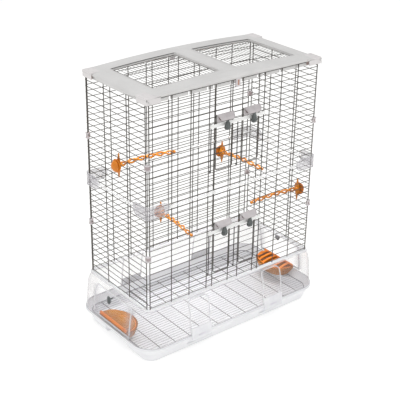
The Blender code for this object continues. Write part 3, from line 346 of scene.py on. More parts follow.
# wire walls: two levels of welded panels, sizes in mm
cage = dict(halfX=351.5, halfY=169.0, post=7.5, postRadius=1.7, railRadius=1.1, upright=1.5, uprightIn=-0.6,
            bar=1.15, barOut=1.3, pitch=20.75, bars=17, doorBars=7,
            longUprights=(-258, -185.5, -113, -89, -21, 21, 89, 113, 185.5, 258), shortUprights=(-62, 62))
levels = {"lower": dict(foot=194.3, head=544.3, firstBar=203.5, doorBar=3),
          "upper": dict(foot=547.3, head=913.7, firstBar=556.5, doorBar=4)}


def onWall(side, along, out, z):
    if side in faces:
        return Vector((along, faces[side] * (cage["halfY"] + out), z))
    return Vector((sides[side] * (cage["halfX"] + out), along, z))


def wallSpan(side):  # half its length, and where its uprights stand
    return (cage["halfX"], cage["longUprights"]) if side in faces else (cage["halfY"], cage["shortUprights"])


def barHeight(level, index):
    return levels[level]["firstBar"] + index * cage["pitch"]


def buildWall(level, side):
    bm = bmesh.new()
    span = levels[level]
    half, uprights = wallSpan(side)
    half -= cage["post"]
    for along in (-half, half):
        addWire(bm, [onWall(side, along, 0, span["foot"] + 1.6), onWall(side, along, 0, span["head"] - 1.6)],
                cage["postRadius"], 10, domed=True)
    if level == "upper":  # the other ends of the panels stand in the clear strips and the skirt's rail
        z = span["head"] - 2.1
        addWire(bm, [onWall(side, -half, 0, z), onWall(side, half, 0, z)], cage["railRadius"], 8)
    for along in uprights:
        ends = (span["foot"] + 2, span["head"] - 2)
        addWire(bm, [onWall(side, along, cage["uprightIn"], z) for z in ends], cage["upright"], 8)
    gaps = range(span["doorBar"], span["doorBar"] + cage["doorBars"]) if side == "front" else ()
    crossings = (-half, *uprights, half)
    for index in range(cage["bars"]):
        z = barHeight(level, index)
        # behind the doors the bars are cut: left of the doors, between them, right of them
        for run in (crossings[:5], crossings[5:7], crossings[7:]) if index in gaps else (crossings,):
            stops, swell = [], []
            for cross in run:  # the bar swells a little where it is welded to an upright
                for step, grow in ((-2.4, 1.0), (-0.8, 1.22), (0.8, 1.22), (2.4, 1.0)):
                    if not (cross == run[0] and step < -1 or cross == run[-1] and step > 1):
                        stops.append(onWall(side, cross + step, cage["barOut"], z))
                        swell.append(grow)
            addWire(bm, stops, cage["bar"], 8, swell=swell)
    makePiece(f"wires_{side}_{level}", bm, "powderCoatedWire", "cage", [f"wall_{side}_{level}"])


for level in levels:
    for side in walls:
        buildWall(level, side)
print("wire walls built")

# floor grille above the tray
grille = dict(halfX=364, halfY=184, corner=43.6, edge=1.7, edgeZ=40.1, bar=0.7, barZ=41.0, pitch=12.5,
              rows=14, cross=1.15, crossZ=39.5, crossPitch=61.5, crosses=5)


def cornerReach(half, otherHalf, corner, across):
    beyond = across - (otherHalf - corner)
    return half if beyond <= 0 else half - corner + sqrt(max(corner ** 2 - beyond ** 2, 0))


def buildFloorGrille():
    bm = bmesh.new()
    halfX, halfY, corner = (grille[key] for key in ("halfX", "halfY", "corner"))
    addWire(bm, roundRing(halfX, halfY, corner, grille["edgeZ"]), grille["edge"], 8, loop=True)
    for row in range(-grille["rows"], grille["rows"] + 1):
        y = row * grille["pitch"]
        reach = cornerReach(halfX, halfY, corner, abs(y))
        addWire(bm, [(x, y, grille["barZ"]) for x in (-reach, reach)], grille["bar"], 8)
    makePiece("floor_wires", bm, "zincWire", "cage", ["floor_grille"])
    bm = bmesh.new()
    for index in range(-grille["crosses"], grille["crosses"] + 1):
        x = index * grille["crossPitch"]
        reach = cornerReach(halfY, halfX, corner, abs(x))
        addWire(bm, [(x, y, grille["crossZ"]) for y in (-reach, reach)], grille["cross"], 8)
    makePiece("floor_crosses", bm, "powderCoatedWire", "cage")


buildFloorGrille()

# tray: rim, a soft step below it, end recesses between the feet and latch pockets in the long sides
tray = dict(halfX=361, halfY=181, corner=40, recessX=347, pocketFrom=120, pocketTo=203, pocketDeep=4.0)


def trayRing(z, out, pocket=0.0, recess=0.0, half=62.0):
    ring = roundRing(tray["halfX"] + out, tray["halfY"] + out, tray["corner"] + 1.2 * out, z, 12,
                     (-205, -202, -121, -118, 118, 121, 202, 205), (-66, -62, 62, 66))
    for point in ring:
        if pocket and tray["pocketFrom"] < abs(point.x) < tray["pocketTo"] and abs(point.y) > tray["halfY"] + out - 1:
            point.y -= copysign(pocket, point.y)
        if recess and abs(point.y) <= half and abs(point.x) > tray["halfX"] + out - 1:
            point.x = copysign(recess, point.x)
    return ring


def buildTray():
    bm = bmesh.new()
    deep, recess = tray["pocketDeep"], tray["recessX"]
    outline = ((0, -4, 0, recess), (0.6, -1.4, 0, recess), (2.2, -0.3, 0, recess), (4, 0.2, 0, recess),
               (16, 4.6, 0, recess), (17.5, 5.1, deep, recess), (31, 9.8, deep, recess), (33, 10.6, deep, recess + 0.8),
               (34, 11.6, deep), (35, 13.2, deep), (36.4, 14.4, deep), (46, 18.2, deep), (47.5, 19.0), (50.8, 20.6),
               (51.8, 21.6), (52, 26.6), (52.3, 28.2), (53.2, 29), (57.8, 29), (59.2, 28.4), (60, 27), (60, 24),
               (59.2, 22.6), (52, 18.5), (39.2, 11.4), (38.2, 10.4), (38, 8), (38, 0.4), (37.4, -0.6, 0, 343.2, 66),
               (8, -3.8, 0, 343, 66), (5, -6.5, 0, 341, 66))
    addRings(bm, [trayRing(*station) for station in outline])  # height, reach, pocket depth, recess
    makePiece("tray", bm, "trayPolystyrene", "cage", ["base_pan"], sharp=28)


buildTray()

# clear skirt between the tray and the wire walls: height, reach outside the wall plane, corner radius
skirt = dict(profile=((60.3, 36, 70), (104, 33, 66), (150, 27, 56), (174, 20, 44), (186, 12, 32), (194, 7, 20)),
             wall=2.5, portHalf=107, portFoot=69, portHead=177)


def skirtAt(z):  # a smooth line through the profile's heights
    table = skirt["profile"]
    for index, (low, high) in enumerate(zip(table, table[1:])):
        if low[0] <= z <= high[0]:
            before, after = table[max(index - 1, 0)], table[min(index + 2, len(table) - 1)]
            tall = high[0] - low[0]
            share = (z - low[0]) / tall
            out = []
            for a, b, c, d in list(zip(before, low, high, after))[1:]:
                slopeLow = (c - a) / (high[0] - before[0]) * tall
                slopeHigh = (d - b) / (after[0] - low[0]) * tall
                out.append(b + share * slopeLow + share ** 2 * (3 * (c - b) - 2 * slopeLow - slopeHigh)
                           + share ** 3 * (2 * (b - c) + slopeLow + slopeHigh))
            return out
    return list(table[-1][1:] if z > table[-1][0] else table[0][1:])


def skirtRing(z, grow=0.0):
    out, corner = skirtAt(z)
    return roundRing(cage["halfX"] + out + grow, cage["halfY"] + out + grow, corner + grow, z, 14,
                     (), (-skirt["portHalf"], skirt["portHalf"]))


def dropLoose(bm):
    bmesh.ops.delete(bm, geom=[vert for vert in bm.verts if not vert.link_faces], context="VERTS")


def solidify(piece, thickness, offset):
    shell = piece.modifiers.new("wall", "SOLIDIFY")
    shell.thickness = thickness * 0.001
    shell.offset = offset
    shell.use_even_offset = True


def buildSkirt():
    bm = bmesh.new()
    heights = [60.3, 64, 69, 80, 92, 104, 116, 128, 140, 150, 158, 166, 171, 177, 181, 184.5, 187.5, 190.5, 192.8, 194]
    rings = [skirtRing(z) for z in heights]
    inner = roundRing(cage["halfX"] - 7, cage["halfY"] - 7, 12, 194, 14, (), (-skirt["portHalf"], skirt["portHalf"]))
    rows = [[bm.verts.new(point) for point in ring] for ring in rings + [inner]]
    reach = skirt["portHalf"] + 0.01
    for k, (first, second) in enumerate(zip(rows, rows[1:])):
        portRow = k < len(heights) - 1 and skirt["portFoot"] <= heights[k] and heights[k + 1] <= skirt["portHead"]
        for index in range(len(first)):
            after = (index + 1) % len(first)
            port = (abs(first[index].co.y) <= reach and abs(first[after].co.y) <= reach
                    and first[index].co.x * first[after].co.x > 0 and abs(first[index].co.x) > 350)
            if not (portRow and port):
                bm.faces.new((first[index], first[after], second[after], second[index]))
    dropLoose(bm)
    makePiece("skirt", bm, "clearPolystyrene", "cage", ["base_skirt"], wall=(skirt["wall"], -1.0))
    bm = bmesh.new()  # thick moulded edges: foot, shoulder, port frames and the arches over the latches, with the light they catch painted near white
    addWire(bm, skirtRing(61.8, 0.0), 1.5, 8, loop=True)
    addWire(bm, skirtRing(191.5, 0.4), 1.3, 8, loop=True)
    for sign in (-1, 1):
        port = bothSides(((107, 69), (107, 100), (107, 130), (107, 155), (107, 170), (104, 175.5), (99, 177.5)))
        addWire(bm, [(sign * (cage["halfX"] + skirtAt(z)[0] - 0.4), y, z) for y, z in port], 1.8, 8, loop=True)
        for face in (-1, 1):
            rise = (62, 75, 90, 105, 120, 135, 150, 162, 171)
            bend = [radians(90 * step / 6) for step in range(1, 6)]
            line = [(203, z) for z in rise]
            line += [(203 - 16 * (1 - cos(turn)), 171 + 15 * sin(turn)) for turn in bend]
            line += [(187, 187), (175, 187), (161.5, 187), (148, 187), (136, 186.4)]
            line += [(136 - 16 * sin(turn), 171 + 15 * cos(turn)) for turn in bend]
            line += [(120, z) for z in reversed(rise)]
            addWire(bm, [(sign * x, face * (cage["halfY"] + skirtAt(z)[0] + 0.3), z) for x, z in line], 2.3, 8,
                    domed=True)
    makePiece("skirt_edges", bm, "clearEdge", "cage")
    bm = bmesh.new()  # the rail along the skirt's top that the wall panels stand in: near white, partly as its frosted top and partly as painted highlight
    section = bothSides(((-3.6, 190.5), (-5.2, 191.5), (-5.2, 197), (-4.4, 198.2), (-2.6, 198.2), (-2.2, 197.4),
                         (-2.2, 195.2)))
    rail = [roundRing(cage["halfX"] + out, cage["halfY"] + out, 8 + out, z, 6) for out, z in section]
    addRings(bm, rail, closed=True)
    makePiece("wall_rail", bm, "skirtRail", "cage")


buildSkirt()
print("base built")

# end flaps in the skirt: they hinge at the foot and lock with a turn knob
flap = dict(half=105.6, wall=2.5, hingeZ=72.4, barrel=2.4, knobX=380.4, knobY=15, knobZ=160)


def buildFlap(name, sign):
    bm = bmesh.new()
    rings = []
    for z in (73, 78, 86, 96, 106, 118, 130, 142, 152, 160, 167, 172, 175.8):
        out = cage["halfX"] + skirtAt(z)[0]
        half = flap["half"] if z < 170 else flap["half"] - (z - 170) * 0.8
        rings.append([(sign * out, y, z) for y in (-half, -half / 2, 0, half / 2, half)])
    addRings(bm, rings, loop=False)
    body = f"end_door_{name}"
    makePiece(f"flap_{name}", bm, "clearFlap", body, [body], wall=(flap["wall"], -1.0))
    bm = bmesh.new()
    line = bothSides(((104, 74), (104, 100), (104, 130), (104, 155), (104, 168), (101, 173), (97, 174.6)))
    addWire(bm, [(sign * (cage["halfX"] + skirtAt(z)[0] - 1.0), y, z) for y, z in line], 1.7, 8, loop=True)
    foot = sign * (cage["halfX"] + skirtAt(flap["hingeZ"])[0] - 1.25)
    addWire(bm, [(foot, -105.5, flap["hingeZ"]), (foot, 105.5, flap["hingeZ"])], flap["barrel"], 10)
    makePiece(f"flap_edges_{name}", bm, "clearEdge", body)
    bm = bmesh.new()  # a smoky disc with a dark pear shaped grip
    knobX, knobY, knobZ = sign * flap["knobX"], flap["knobY"], flap["knobZ"]
    turn = Matrix.Translation((knobX, knobY, knobZ)) @ Matrix.Rotation(sign * pi / 2, 4, "Y")
    addLathe(bm, ((0, 0), (11.4, 0), (12.6, 0.8), (12.6, 2.0), (11.6, 2.7), (9.4, 2.4), (0, 2.4)), 32, turn)
    makePiece(f"flap_disc_{name}", bm, "smokyClear", f"end_knob_{name}", [f"end_knob_{name}"])
    bm = bmesh.new()
    rings = []
    for z, width, out in ((10.5, 2.0, 4.0), (9.5, 3.6, 5.6), (5, 4.8, 7.4), (0, 6.2, 8.4), (-6, 7.6, 8.6),
                          (-11, 7.2, 8.2), (-14.5, 5.0, 6.6), (-16, 2.4, 4.4)):
        turns = [pi * step / 13 for step in range(14)]
        rings.append([(knobX + sign * (1.8 + (out - 1.8) * sin(turn)), knobY + width * cos(turn), knobZ + z)
                      for turn in turns])
    addRings(bm, rings)
    addWire(bm, [(sign * 368, knobY, knobZ), (sign * 381, knobY, knobZ)], 2.1, 12)
    makePiece(f"flap_grip_{name}", bm, "smokedKnob", f"end_knob_{name}")


for name, sign in sides.items():
    buildFlap(name, sign)

# latches: frosted plates that hinge on the skirt's foot and snap under the tray rim
latch = dict(place=161.5, middle=(209, 62), recess=15)


def buildLatch(name, side, sign, face):
    bm = bmesh.new()
    outer = ((206.3, 88.4), (208.4, 87.6), (209.4, 85), (211.4, 74), (213.2, 68), (213.6, 64), (213.6, 44),
             (213.0, 41.5), (211.6, 40.4), (210.6, 41.5), (210.4, 43), (210.3, 48), (206.0, 49.4), (205.4, 50.6),
             (206.0, 51.5), (210.3, 51.6), (210.3, 62), (207.2, 80), (205.2, 84), (204.2, 86), (204.8, 87.6))
    centre, (midY, midZ) = sign * latch["place"], latch["middle"]
    rings = []
    for x, shrink in ((-41.5, 0.9), (-40.9, 0.2), (-40.0, 0), (40.0, 0), (40.9, 0.2), (41.5, 0.9)):
        scale = 1 - shrink * 0.06
        rings.append([(centre + x, face * (midY + (y - midY) * scale), midZ + (z - midZ) * scale) for y, z in outer])
    addRings(bm, rings)
    for end in (-1, 1):  # round stops at the lower ends
        spot = Matrix.Translation((centre + end * 38.5, face * 212.0, 52)) @ Matrix.Rotation(-face * pi / 2, 4, "X")
        addLathe(bm, ((0, 0), (3.0, 0), (3.4, -0.4), (3.4, 1.0), (2.6, 1.6), (0, 1.7)), 16, spot)
    for z in (66, 52):
        addWire(bm, [(centre - 30, face * 213.1, z), (centre + 30, face * 213.1, z)], 0.6, 6)
    body = f"latch_{side}_{name}"
    makePiece(f"latch_plate_{side}_{name}", bm, "frostedLatch", body, [body])
    bm = bmesh.new()  # a bare moulded recess in the middle of the plate, its shade painted darker grey
    addMirrored(bm, (1, face), (centre - latch["recess"], 212.9, 54.5), (centre + latch["recess"], 213.68, 61.5), 0.35)
    makePiece(f"latch_recess_{side}_{name}", bm, "frostedShade", body)


for name, sign in sides.items():
    for side, face in faces.items():
        buildLatch(name, side, sign, face)
print("flaps and latches built")

# strips and clear corner brackets at the joint between the levels
joint = dict(middle=545.8, wingFront=75, wingSide=65, wingHalf=21.5, wall=2.0, clips=(384, 697))


def buildStrip(side):
    bm = bmesh.new()
    half, uprights = wallSpan(side)
    half -= 9.6
    middle = joint["middle"]
    for z in (-3.6, 3.6, 0):  # clear rails that run from socket to socket
        addWire(bm, [onWall(side, -half, 0, middle + z), onWall(side, half, 0, middle + z)], 0.9, 8)
    makePiece(f"joint_rails_{side}", bm, "clearEdge", "cage")
    bm = bmesh.new()
    addBlock(bm, onWall(side, -half, -1.2, middle - 0.9), onWall(side, half, 1.2, middle + 0.9), 0.5)
    for along in uprights:  # sockets that take the uprights
        addBlock(bm, onWall(side, along - 5, -3.6, middle - 5.2), onWall(side, along + 5, 3.6, middle + 5.2), 1.4, 3)
    makePiece(f"joint_strip_{side}", bm, "whiteAbs", "cage", [f"strip_{side}"])


for side in walls:
    buildStrip(side)


def buildBracket(name, side, sign, face):
    middle, out = joint["middle"], 5.4
    outX, outY = cage["halfX"] + out, cage["halfY"] + out
    cornerX, cornerY = outX - 10, outY - 10
    shares = (0, 0.05, 0.12, 0.2, 0.35, 0.55, 0.75, 0.92)
    turns = [radians(90 - 90 * step / 6) for step in range(7)]
    path = [(cornerX - joint["wingFront"] * (1 - share), outY, share) for share in shares]
    path += [(cornerX + 10 * cos(turn), cornerY + 10 * sin(turn), 1.0) for turn in turns]
    path += [(outX, cornerY - joint["wingSide"] * (1 - share), share) for share in reversed(shares)]
    bm = bmesh.new()
    rows = []
    for x, y, share in path:  # the wings end in rounded tips
        tall = joint["wingHalf"] * (sqrt(min(1, 0.12 + share * 4.2)) if share < 0.21 else 1)
        rows.append([(sign * x, face * y, middle + tall * part) for part in (-1, -0.5, 0, 0.5, 1)])
    addRings(bm, rows, loop=False)
    makePiece(f"corner_plate_{side}_{name}", bm, "clearBracket", "cage",
              [f"bracket_{side}_{name}"], wall=(joint["wall"], 0.0))
    bm = bmesh.new()
    addWire(bm, [row[0] for row in rows] + [row[-1] for row in reversed(rows)], 1.3, 8, loop=True)
    for x, y, axis in ((cornerX - 52, outY + 0.4, "X"), (outX + 0.4, cornerY - 44, "Y")):  # bare rings on both wings
        spot = Matrix.Translation((sign * x, face * y, middle)) @ Matrix.Rotation(pi / 2, 4, axis)
        for radius in (11, 6):
            addWire(bm, [spot @ Vector((radius * cos(turn), radius * sin(turn), 0)) for turn in circle(24)],
                    0.9, 6, loop=True)
    for z in (middle - 14, middle + 14):
        addWire(bm, [(sign * x, face * (outY + 0.9), z) for x in (cornerX - 40, cornerX + 2)], 0.9, 6, domed=True)
        addWire(bm, [(sign * (outX + 0.9), face * y, z) for y in (cornerY - 32, cornerY + 2)], 0.9, 6, domed=True)
    makePiece(f"corner_ribs_{side}_{name}", bm, "clearEdge", "cage")
    # nylon clips that tie the panels at the corner, two per corner, each with a recessed middle whose shade is painted
    # darker
    turn, bm, inner = (sign, face), bmesh.new(), bmesh.new()
    for z in joint["clips"]:
        for low, high in ((z - 10.6, z - 5.4), (z + 5.4, z + 10.6)):
            addMirrored(bm, turn, (339.5, 166.0, low), (351.0, 172.2, high), 1.0)
            addMirrored(bm, turn, (348.5, 157.5, low), (354.8, 171.6, high), 1.0)
        addMirrored(bm, turn, (339.7, 166.2, z - 7), (342.0, 172.0, z + 7))
        addMirrored(bm, turn, (352.0, 157.7, z - 7), (354.6, 160.0, z + 7))
        addMirrored(inner, turn, (341.0, 162.0, z - 6), (351.6, 171.0, z + 6), 1.0)
        addMirrored(inner, turn, (346.0, 159.0, z - 6), (353.6, 169.0, z + 6), 1.0)
    makePiece(f"corner_clips_{side}_{name}", bm, "clipNylon", "cage")
    makePiece(f"clip_middle_shade_{side}_{name}", inner, "clipShade", "cage")


for name, sign in sides.items():
    for side, face in faces.items():
        buildBracket(name, side, sign, face)
print("joint built")

# sliding doors with guide bar, rods, hooded handles and turn knobs
door = dict(centre=55, half=33.8, bend=8, wire=1.5, bar=1.0, plane=173.3, reach=187, drop=15)
guide = dict(up=153.5, half=113, low=174.8, high=177.2, tall=11.5, rodY=172.8, rod=1.75, ball=3.6,
             rodLong=148, rodPlaces=(-109, 0, 109))
handle = dict(top=33, foot=25, tall=18, skirt=8, back=174.9, lift=11, plate=2.2, wall=1.8)
knob = dict(radius=11.8, length=34, flat=0.70, y=188.2, wing=2.2)


def doorFoot(level):
    return barHeight(level, levels[level]["doorBar"]) - door["drop"]


def guideZ(level):
    return doorFoot(level) + guide["up"]


def buildDoor(level, name, x):
    body = f"door_{level}_{name}"
    bottom, half, bend, y = doorFoot(level), door["half"], door["bend"], -door["plane"]
    top = bottom + door["reach"]
    bm = bmesh.new()
    path = [(x - half, y, top)]
    for signX, start in ((-1, 180), (1, 270)):
        for step in range(7):
            turn = radians(start + 15 * step)
            path.append((x + signX * (half - bend) + bend * cos(turn), y, bottom + bend + bend * sin(turn)))
    path.append((x + half, y, top))
    addWire(bm, path, door["wire"], 10, domed=True)
    addWire(bm, [(x - half, y, top - 1.4), (x + half, y, top - 1.4)], 1.2, 8)
    for index in range(levels[level]["doorBar"], cage["bars"]):
        z = barHeight(level, index)
        if z < top - 6:
            addWire(bm, [(x - half, y, z), (x + half, y, z)], door["bar"], 8)
    makePiece(f"door_wires_{level}_{name}", bm, "powderCoatedWire", body, [body])
    buildHandle(level, name, x, body)


def buildHandle(level, name, x, body):
    foot = guideZ(level) + guide["tall"] / 2 + handle["lift"]
    back, tall = handle["back"], handle["tall"]

    def width(share):
        return handle["foot"] + (handle["top"] - handle["foot"]) * min(1, share / 0.9)

    bm = bmesh.new()
    # the front plate slopes from the wall at its top to the knob at its foot
    slope = ((1.0, 1.2), (0.97, 2.4), (0.86, 4.4), (0.66, 8.4), (0.48, 12.4), (0.36, 14.6), (0.26, 15.2),
             (0.06, 15.2), (0.0, 14.4))
    parts = [step / 8 * 2 - 1 for step in range(9)]
    addRings(bm, [[(x + part * width(share), -(back + out - 1.6 * part * part * min(1, out / 8)), foot + share * tall)
                   for part in parts] for share, out in slope], loop=False)
    makePiece(f"handle_hood_{level}_{name}", bm, "lilacAbs", body, [f"handle_{level}_{name}"],
              wall=(handle["wall"], 1.0))
    bm = bmesh.new()  # side cheeks, painted brown as the shade inside the hood
    outline = ((0.6, 0.99), (1.2, 0.99), (4.0, 0.85), (8.0, 0.65), (12.0, 0.46), (14.0, 0.34), (14.0, 0.04),
               (0.6, 0.04))
    for end in (-1, 1):
        addRings(bm, [[(x + end * (width(share) - inset), -(back + out), foot + share * tall)
                       for out, share in outline] for inset in (1.2, 2.8)])
    makePiece(f"handle_cheek_shade_{level}_{name}", bm, "paintedHoodShade", body)
    bm = bmesh.new()  # back plate on the door wires and the shelf that holds the knob
    addBlock(bm, (x - handle["top"], -(back + handle["plate"] - 0.1), foot - handle["skirt"]),
             (x + handle["top"], -back, foot + tall - 0.4), 0.7)
    addBlock(bm, (x - 23.5, -(back + 16.4), foot + 0.1), (x + 23.5, -back, foot + 2.2), 0.8)
    makePiece(f"handle_shelf_{level}_{name}", bm, "lilacAbs", body)
    buildKnob(level, name, x, foot)


def buildKnob(level, name, x, foot):
    bm = bmesh.new()
    length, radius = knob["length"], knob["radius"]
    rings = []
    for width, height in ((0.44, 0.0), (0.46, -0.08), (0.48, -0.15), (0.60, -0.26), (0.80, -0.42), (0.94, -0.56),
                          (1.0, -0.69), (0.98, -0.80), (0.86, -0.90), (0.62, -0.965), (0.3, -1.0)):
        size, deep = width * radius, 1 - (1 - knob["flat"]) * min(max(-height / 0.4, 0), 1)
        rings.append([(x + size * cos(turn), -knob["y"] + size * sin(turn) * deep, foot - 0.3 + height * length)
                      for turn in circle(8, 0.5)])  # eight soft facets
    addRings(bm, rings)
    addWire(bm, [(x, -knob["y"], foot - 2), (x, -knob["y"], foot + 3.6)], 2.1, 12)
    body = f"knob_{level}_{name}"
    makePiece(f"turn_knob_{level}_{name}", bm, "smokedKnob", body, [body], sharp=28)
    bm = bmesh.new()  # clear wing moulded on the knob's right edge
    rows = []
    for z, reach in ((-5, 5.4), (-9, 7.8), (-14, 10.2), (-19, 10.6), (-24, 10.6), (-28, 9.2), (-31, 6.6)):
        rows.append([(x + part, -knob["y"] + 0.4, foot + z) for part in (4.0, (4 + reach) / 2, reach)])
    addRings(bm, rows, loop=False)
    makePiece(f"knob_wing_{level}_{name}", bm, "smokyClear", body, wall=(knob["wing"], 0.0))


def buildGuide(level):
    z, half = guideZ(level), guide["half"]
    bm = bmesh.new()
    addBlock(bm, (-half, -guide["high"], z - guide["tall"] / 2), (half, -guide["low"], z + guide["tall"] / 2), 1.0, 3)
    for end in (-1, 1):  # hooks that clip the bar to the uprights beside the doors
        for low, high in ((z - 5.2, z - 1.4), (z + 1.4, z + 5.2)):
            addMirrored(bm, (end, -1), (106.5, 165.6, low), (113, 175.2, high), 0.8)
    makePiece(f"guide_strip_{level}", bm, "whiteAbs", "cage", [f"guide_bar_{level}"])
    bm = bmesh.new()
    low = z - guide["tall"] / 2 - guide["rodLong"]
    for x in guide["rodPlaces"]:
        addWire(bm, [(x, -guide["rodY"], z + 4), (x, -guide["rodY"], low)], guide["rod"], 10)
        ball = Matrix.Translation((x, -guide["rodY"] + 1.6, low))
        addLathe(bm, ballProfile(guide["ball"], 8), 16, ball)
    makePiece(f"door_rods_{level}", bm, "blackCoatedRod", "cage", [f"guide_rods_{level}"])


for level in levels:
    buildGuide(level)
    for name, sign in sides.items():
        buildDoor(level, name, door["centre"] * sign)
print("doors built")

# arched roof with two grilled windows
roof = dict(halfX=356, halfY=173.5, top=918.0, arch=12.9, foot=914.7, wall=2.4, inner=34, outer=289, depth=116,
            tongue=904.0, lip=912.4, capFoot=897.2)


def roofZ(x):
    return roof["top"] + roof["arch"] * (1 - (x / roof["halfX"]) ** 2)


def lipFoot(y):
    share = min(max((abs(y) - 56) / (121 - 56), 0), 1)
    return roof["tongue"] + (roof["lip"] - roof["tongue"]) * (3 * share ** 2 - 2 * share ** 3)


def acrossMiddle(marks):  # the same marks on the other side of the raised middle
    return marks + [(0, -0.7)] + [(-place, drop) for place, drop in reversed(marks)]


def buildRoof():
    edge = ((0.0, None), (0.0, 3.4), (0.5, 1.5), (1.8, 0.4), (4.0, 0.0))
    rolled = ((0.0, None), (0.0, 8.5), (0.9, 6.0), (2.6, 3.8), (5.2, 2.1), (9.0, 0.8), (14.0, 0.1))
    columns = [(roof["halfX"] - inset, drop) for inset, drop in rolled]
    columns += [(x, 0.0) for x in (336, 326, 316, 307)] + [(305.5, -0.7)]
    columns += [(x, -0.7) for x in (297, *range(289, 16, -17))]  # the middle stands 0.7 proud
    rows = [(roof["halfY"] - inset, drop) for inset, drop in edge]
    rows += [(158, 0.0), (146, 0.0), (134, 0.0), (132.5, -0.7), (124, -0.7), (116, -0.7), (93, -0.7), (62.5, -0.7),
             (40, -0.7), (20, -0.7)]
    columns, rows = acrossMiddle(columns), acrossMiddle(rows)
    bm = bmesh.new()
    grid = []
    for x, dropX in columns:
        line = []
        for y, dropY in rows:
            if dropX is None:
                z = lipFoot(y) if dropY is not None else roof["foot"] - 4
            elif dropY is None:
                z = roof["foot"]
            else:
                z = max(roofZ(x) - max(dropX, dropY), lipFoot(y) + 0.8)
            line.append(bm.verts.new((x, y, z)))
        grid.append(line)
    for first, second in zip(grid, grid[1:]):
        for index in range(len(rows) - 1):
            corners = (first[index], first[index + 1], second[index + 1], second[index])
            middle = sum((vert.co for vert in corners), Vector()) / 4
            if not (roof["inner"] < abs(middle.x) < roof["outer"] and abs(middle.y) < roof["depth"]):
                bm.faces.new(corners)
    dropLoose(bm)
    piece = makePiece("roof_shell", bm, "satinRoofAbs", "cage", ["roof_frame"], sharp=40)
    topmost = max(piece.data.polygons, key=lambda polygon: polygon.center.z)
    solidify(piece, roof["wall"], -1.0 if topmost.normal.z > 0 else 1.0)  # always inwards
    bm = bmesh.new()  # deep rims round the windows
    for sign in (-1, 1):
        middle, halfX = sign * (roof["inner"] + roof["outer"]) / 2, (roof["outer"] - roof["inner"]) / 2
        rings = []
        for grow, lift in ((3.4, -1.5), (3.4, 0.3), (2.8, 0.6), (0.6, 0.6), (0.0, 0.3), (0.0, -9.4), (0.6, -10.0),
                           (1.6, -10.0), (2.0, -9.4), (2.2, -2.6)):
            ring = roundRing(halfX + grow, roof["depth"] + grow, 3 + grow, 0, 5, (-90, -60, -30, 0, 30, 60, 90),
                             (-60, 0, 60))
            for point in ring:
                point.x += middle
                point.z = roofZ(point.x) + 0.7 + lift
            rings.append(ring)
        addRings(bm, rings, closed=True)
    makePiece("window_rims", bm, "satinRoofAbs", "cage")
    bm = bmesh.new()  # slotted inner skirt that drops inside the wall panels
    for side in walls:
        half, uprights = wallSpan(side)
        half -= 3.3
        stops = [-half] + [value for mark in uprights for value in (mark - 9.5, mark - 3.5)] + [half]
        for start, end in zip(stops[::2], stops[1::2]):
            addBlock(bm, onWall(side, start, -5.2, 898.4), onWall(side, end, -3.2, 916), 0.5)
        addBlock(bm, onWall(side, -half, -5.0, 911), onWall(side, half, -3.4, 917), 0.4)
    makePiece("roof_skirt", bm, "satinRoofAbs", "cage")
    buildCaps()


def buildCaps():
    bm = bmesh.new()
    high = roofZ(340) + 1.2
    for turn in ((sign, face) for sign in (-1, 1) for face in (-1, 1)):
        addMirrored(bm, turn, (302, 121.5, 915.6), (356.0, 173.5, high), 0.9, 3)
        addMirrored(bm, turn, (302.3, 170.4, roof["capFoot"]), (355.8, 173.3, 918), 0.7, 3)
        addMirrored(bm, turn, (352.9, 121.8, roof["capFoot"] + 0.1), (355.7, 173.2, 918), 0.7, 3)
        for x, y, radius in ((318, 160, 3.4), (342, 136, 3.4), (342, 160, 2.4)):
            addLathe(bm, ((radius, high - 0.4), (radius, high + 0.5), (radius - 0.5, high + 0.9), (0, high + 0.9)), 18,
                     Matrix.Translation((turn[0] * x, turn[1] * y, 0)))
    makePiece("roof_caps", bm, "roofCapAbs", "cage")
    bm = bmesh.new()
    for sign in (-1, 1):  # brown blocks at one end of each cap: painted shade of the gap there
        addMirrored(bm, (sign, -sign), (289.0, 172.2, 903), (298.5, 173.4, 920), 0.4)
        addMirrored(bm, (-sign, sign), (354.6, 116, 902), (355.9, 120.5, 914), 0.4)
    makePiece("roof_gap_shade", bm, "capGapShade", "cage")
    bm, recessShades = bmesh.new(), bmesh.new()
    for face in (-1, 1):  # clips at the middle of the long sides
        addMirrored(bm, (1, face), (-12, 166.5, 887), (6, 173.3, 917), 1.6, 3)
        # a brown block on each clip's face: painted shade of its recessed middle
        addMirrored(recessShades, (1, face), (-6.5, 172.4, 893), (0.5, 173.45, 911), 0.4)
    makePiece("roof_clips", bm, "clipNylon", "cage")
    makePiece("clip_recess_shade", recessShades, "clipRecessShade", "cage")


# wires of the roof windows: they hang a little under the arch
roofGrille = dict(halfY=115.4, frame=0.75, brace=1.15, braceY=62.5, bar=0.72, bars=18, pitch=13.5)


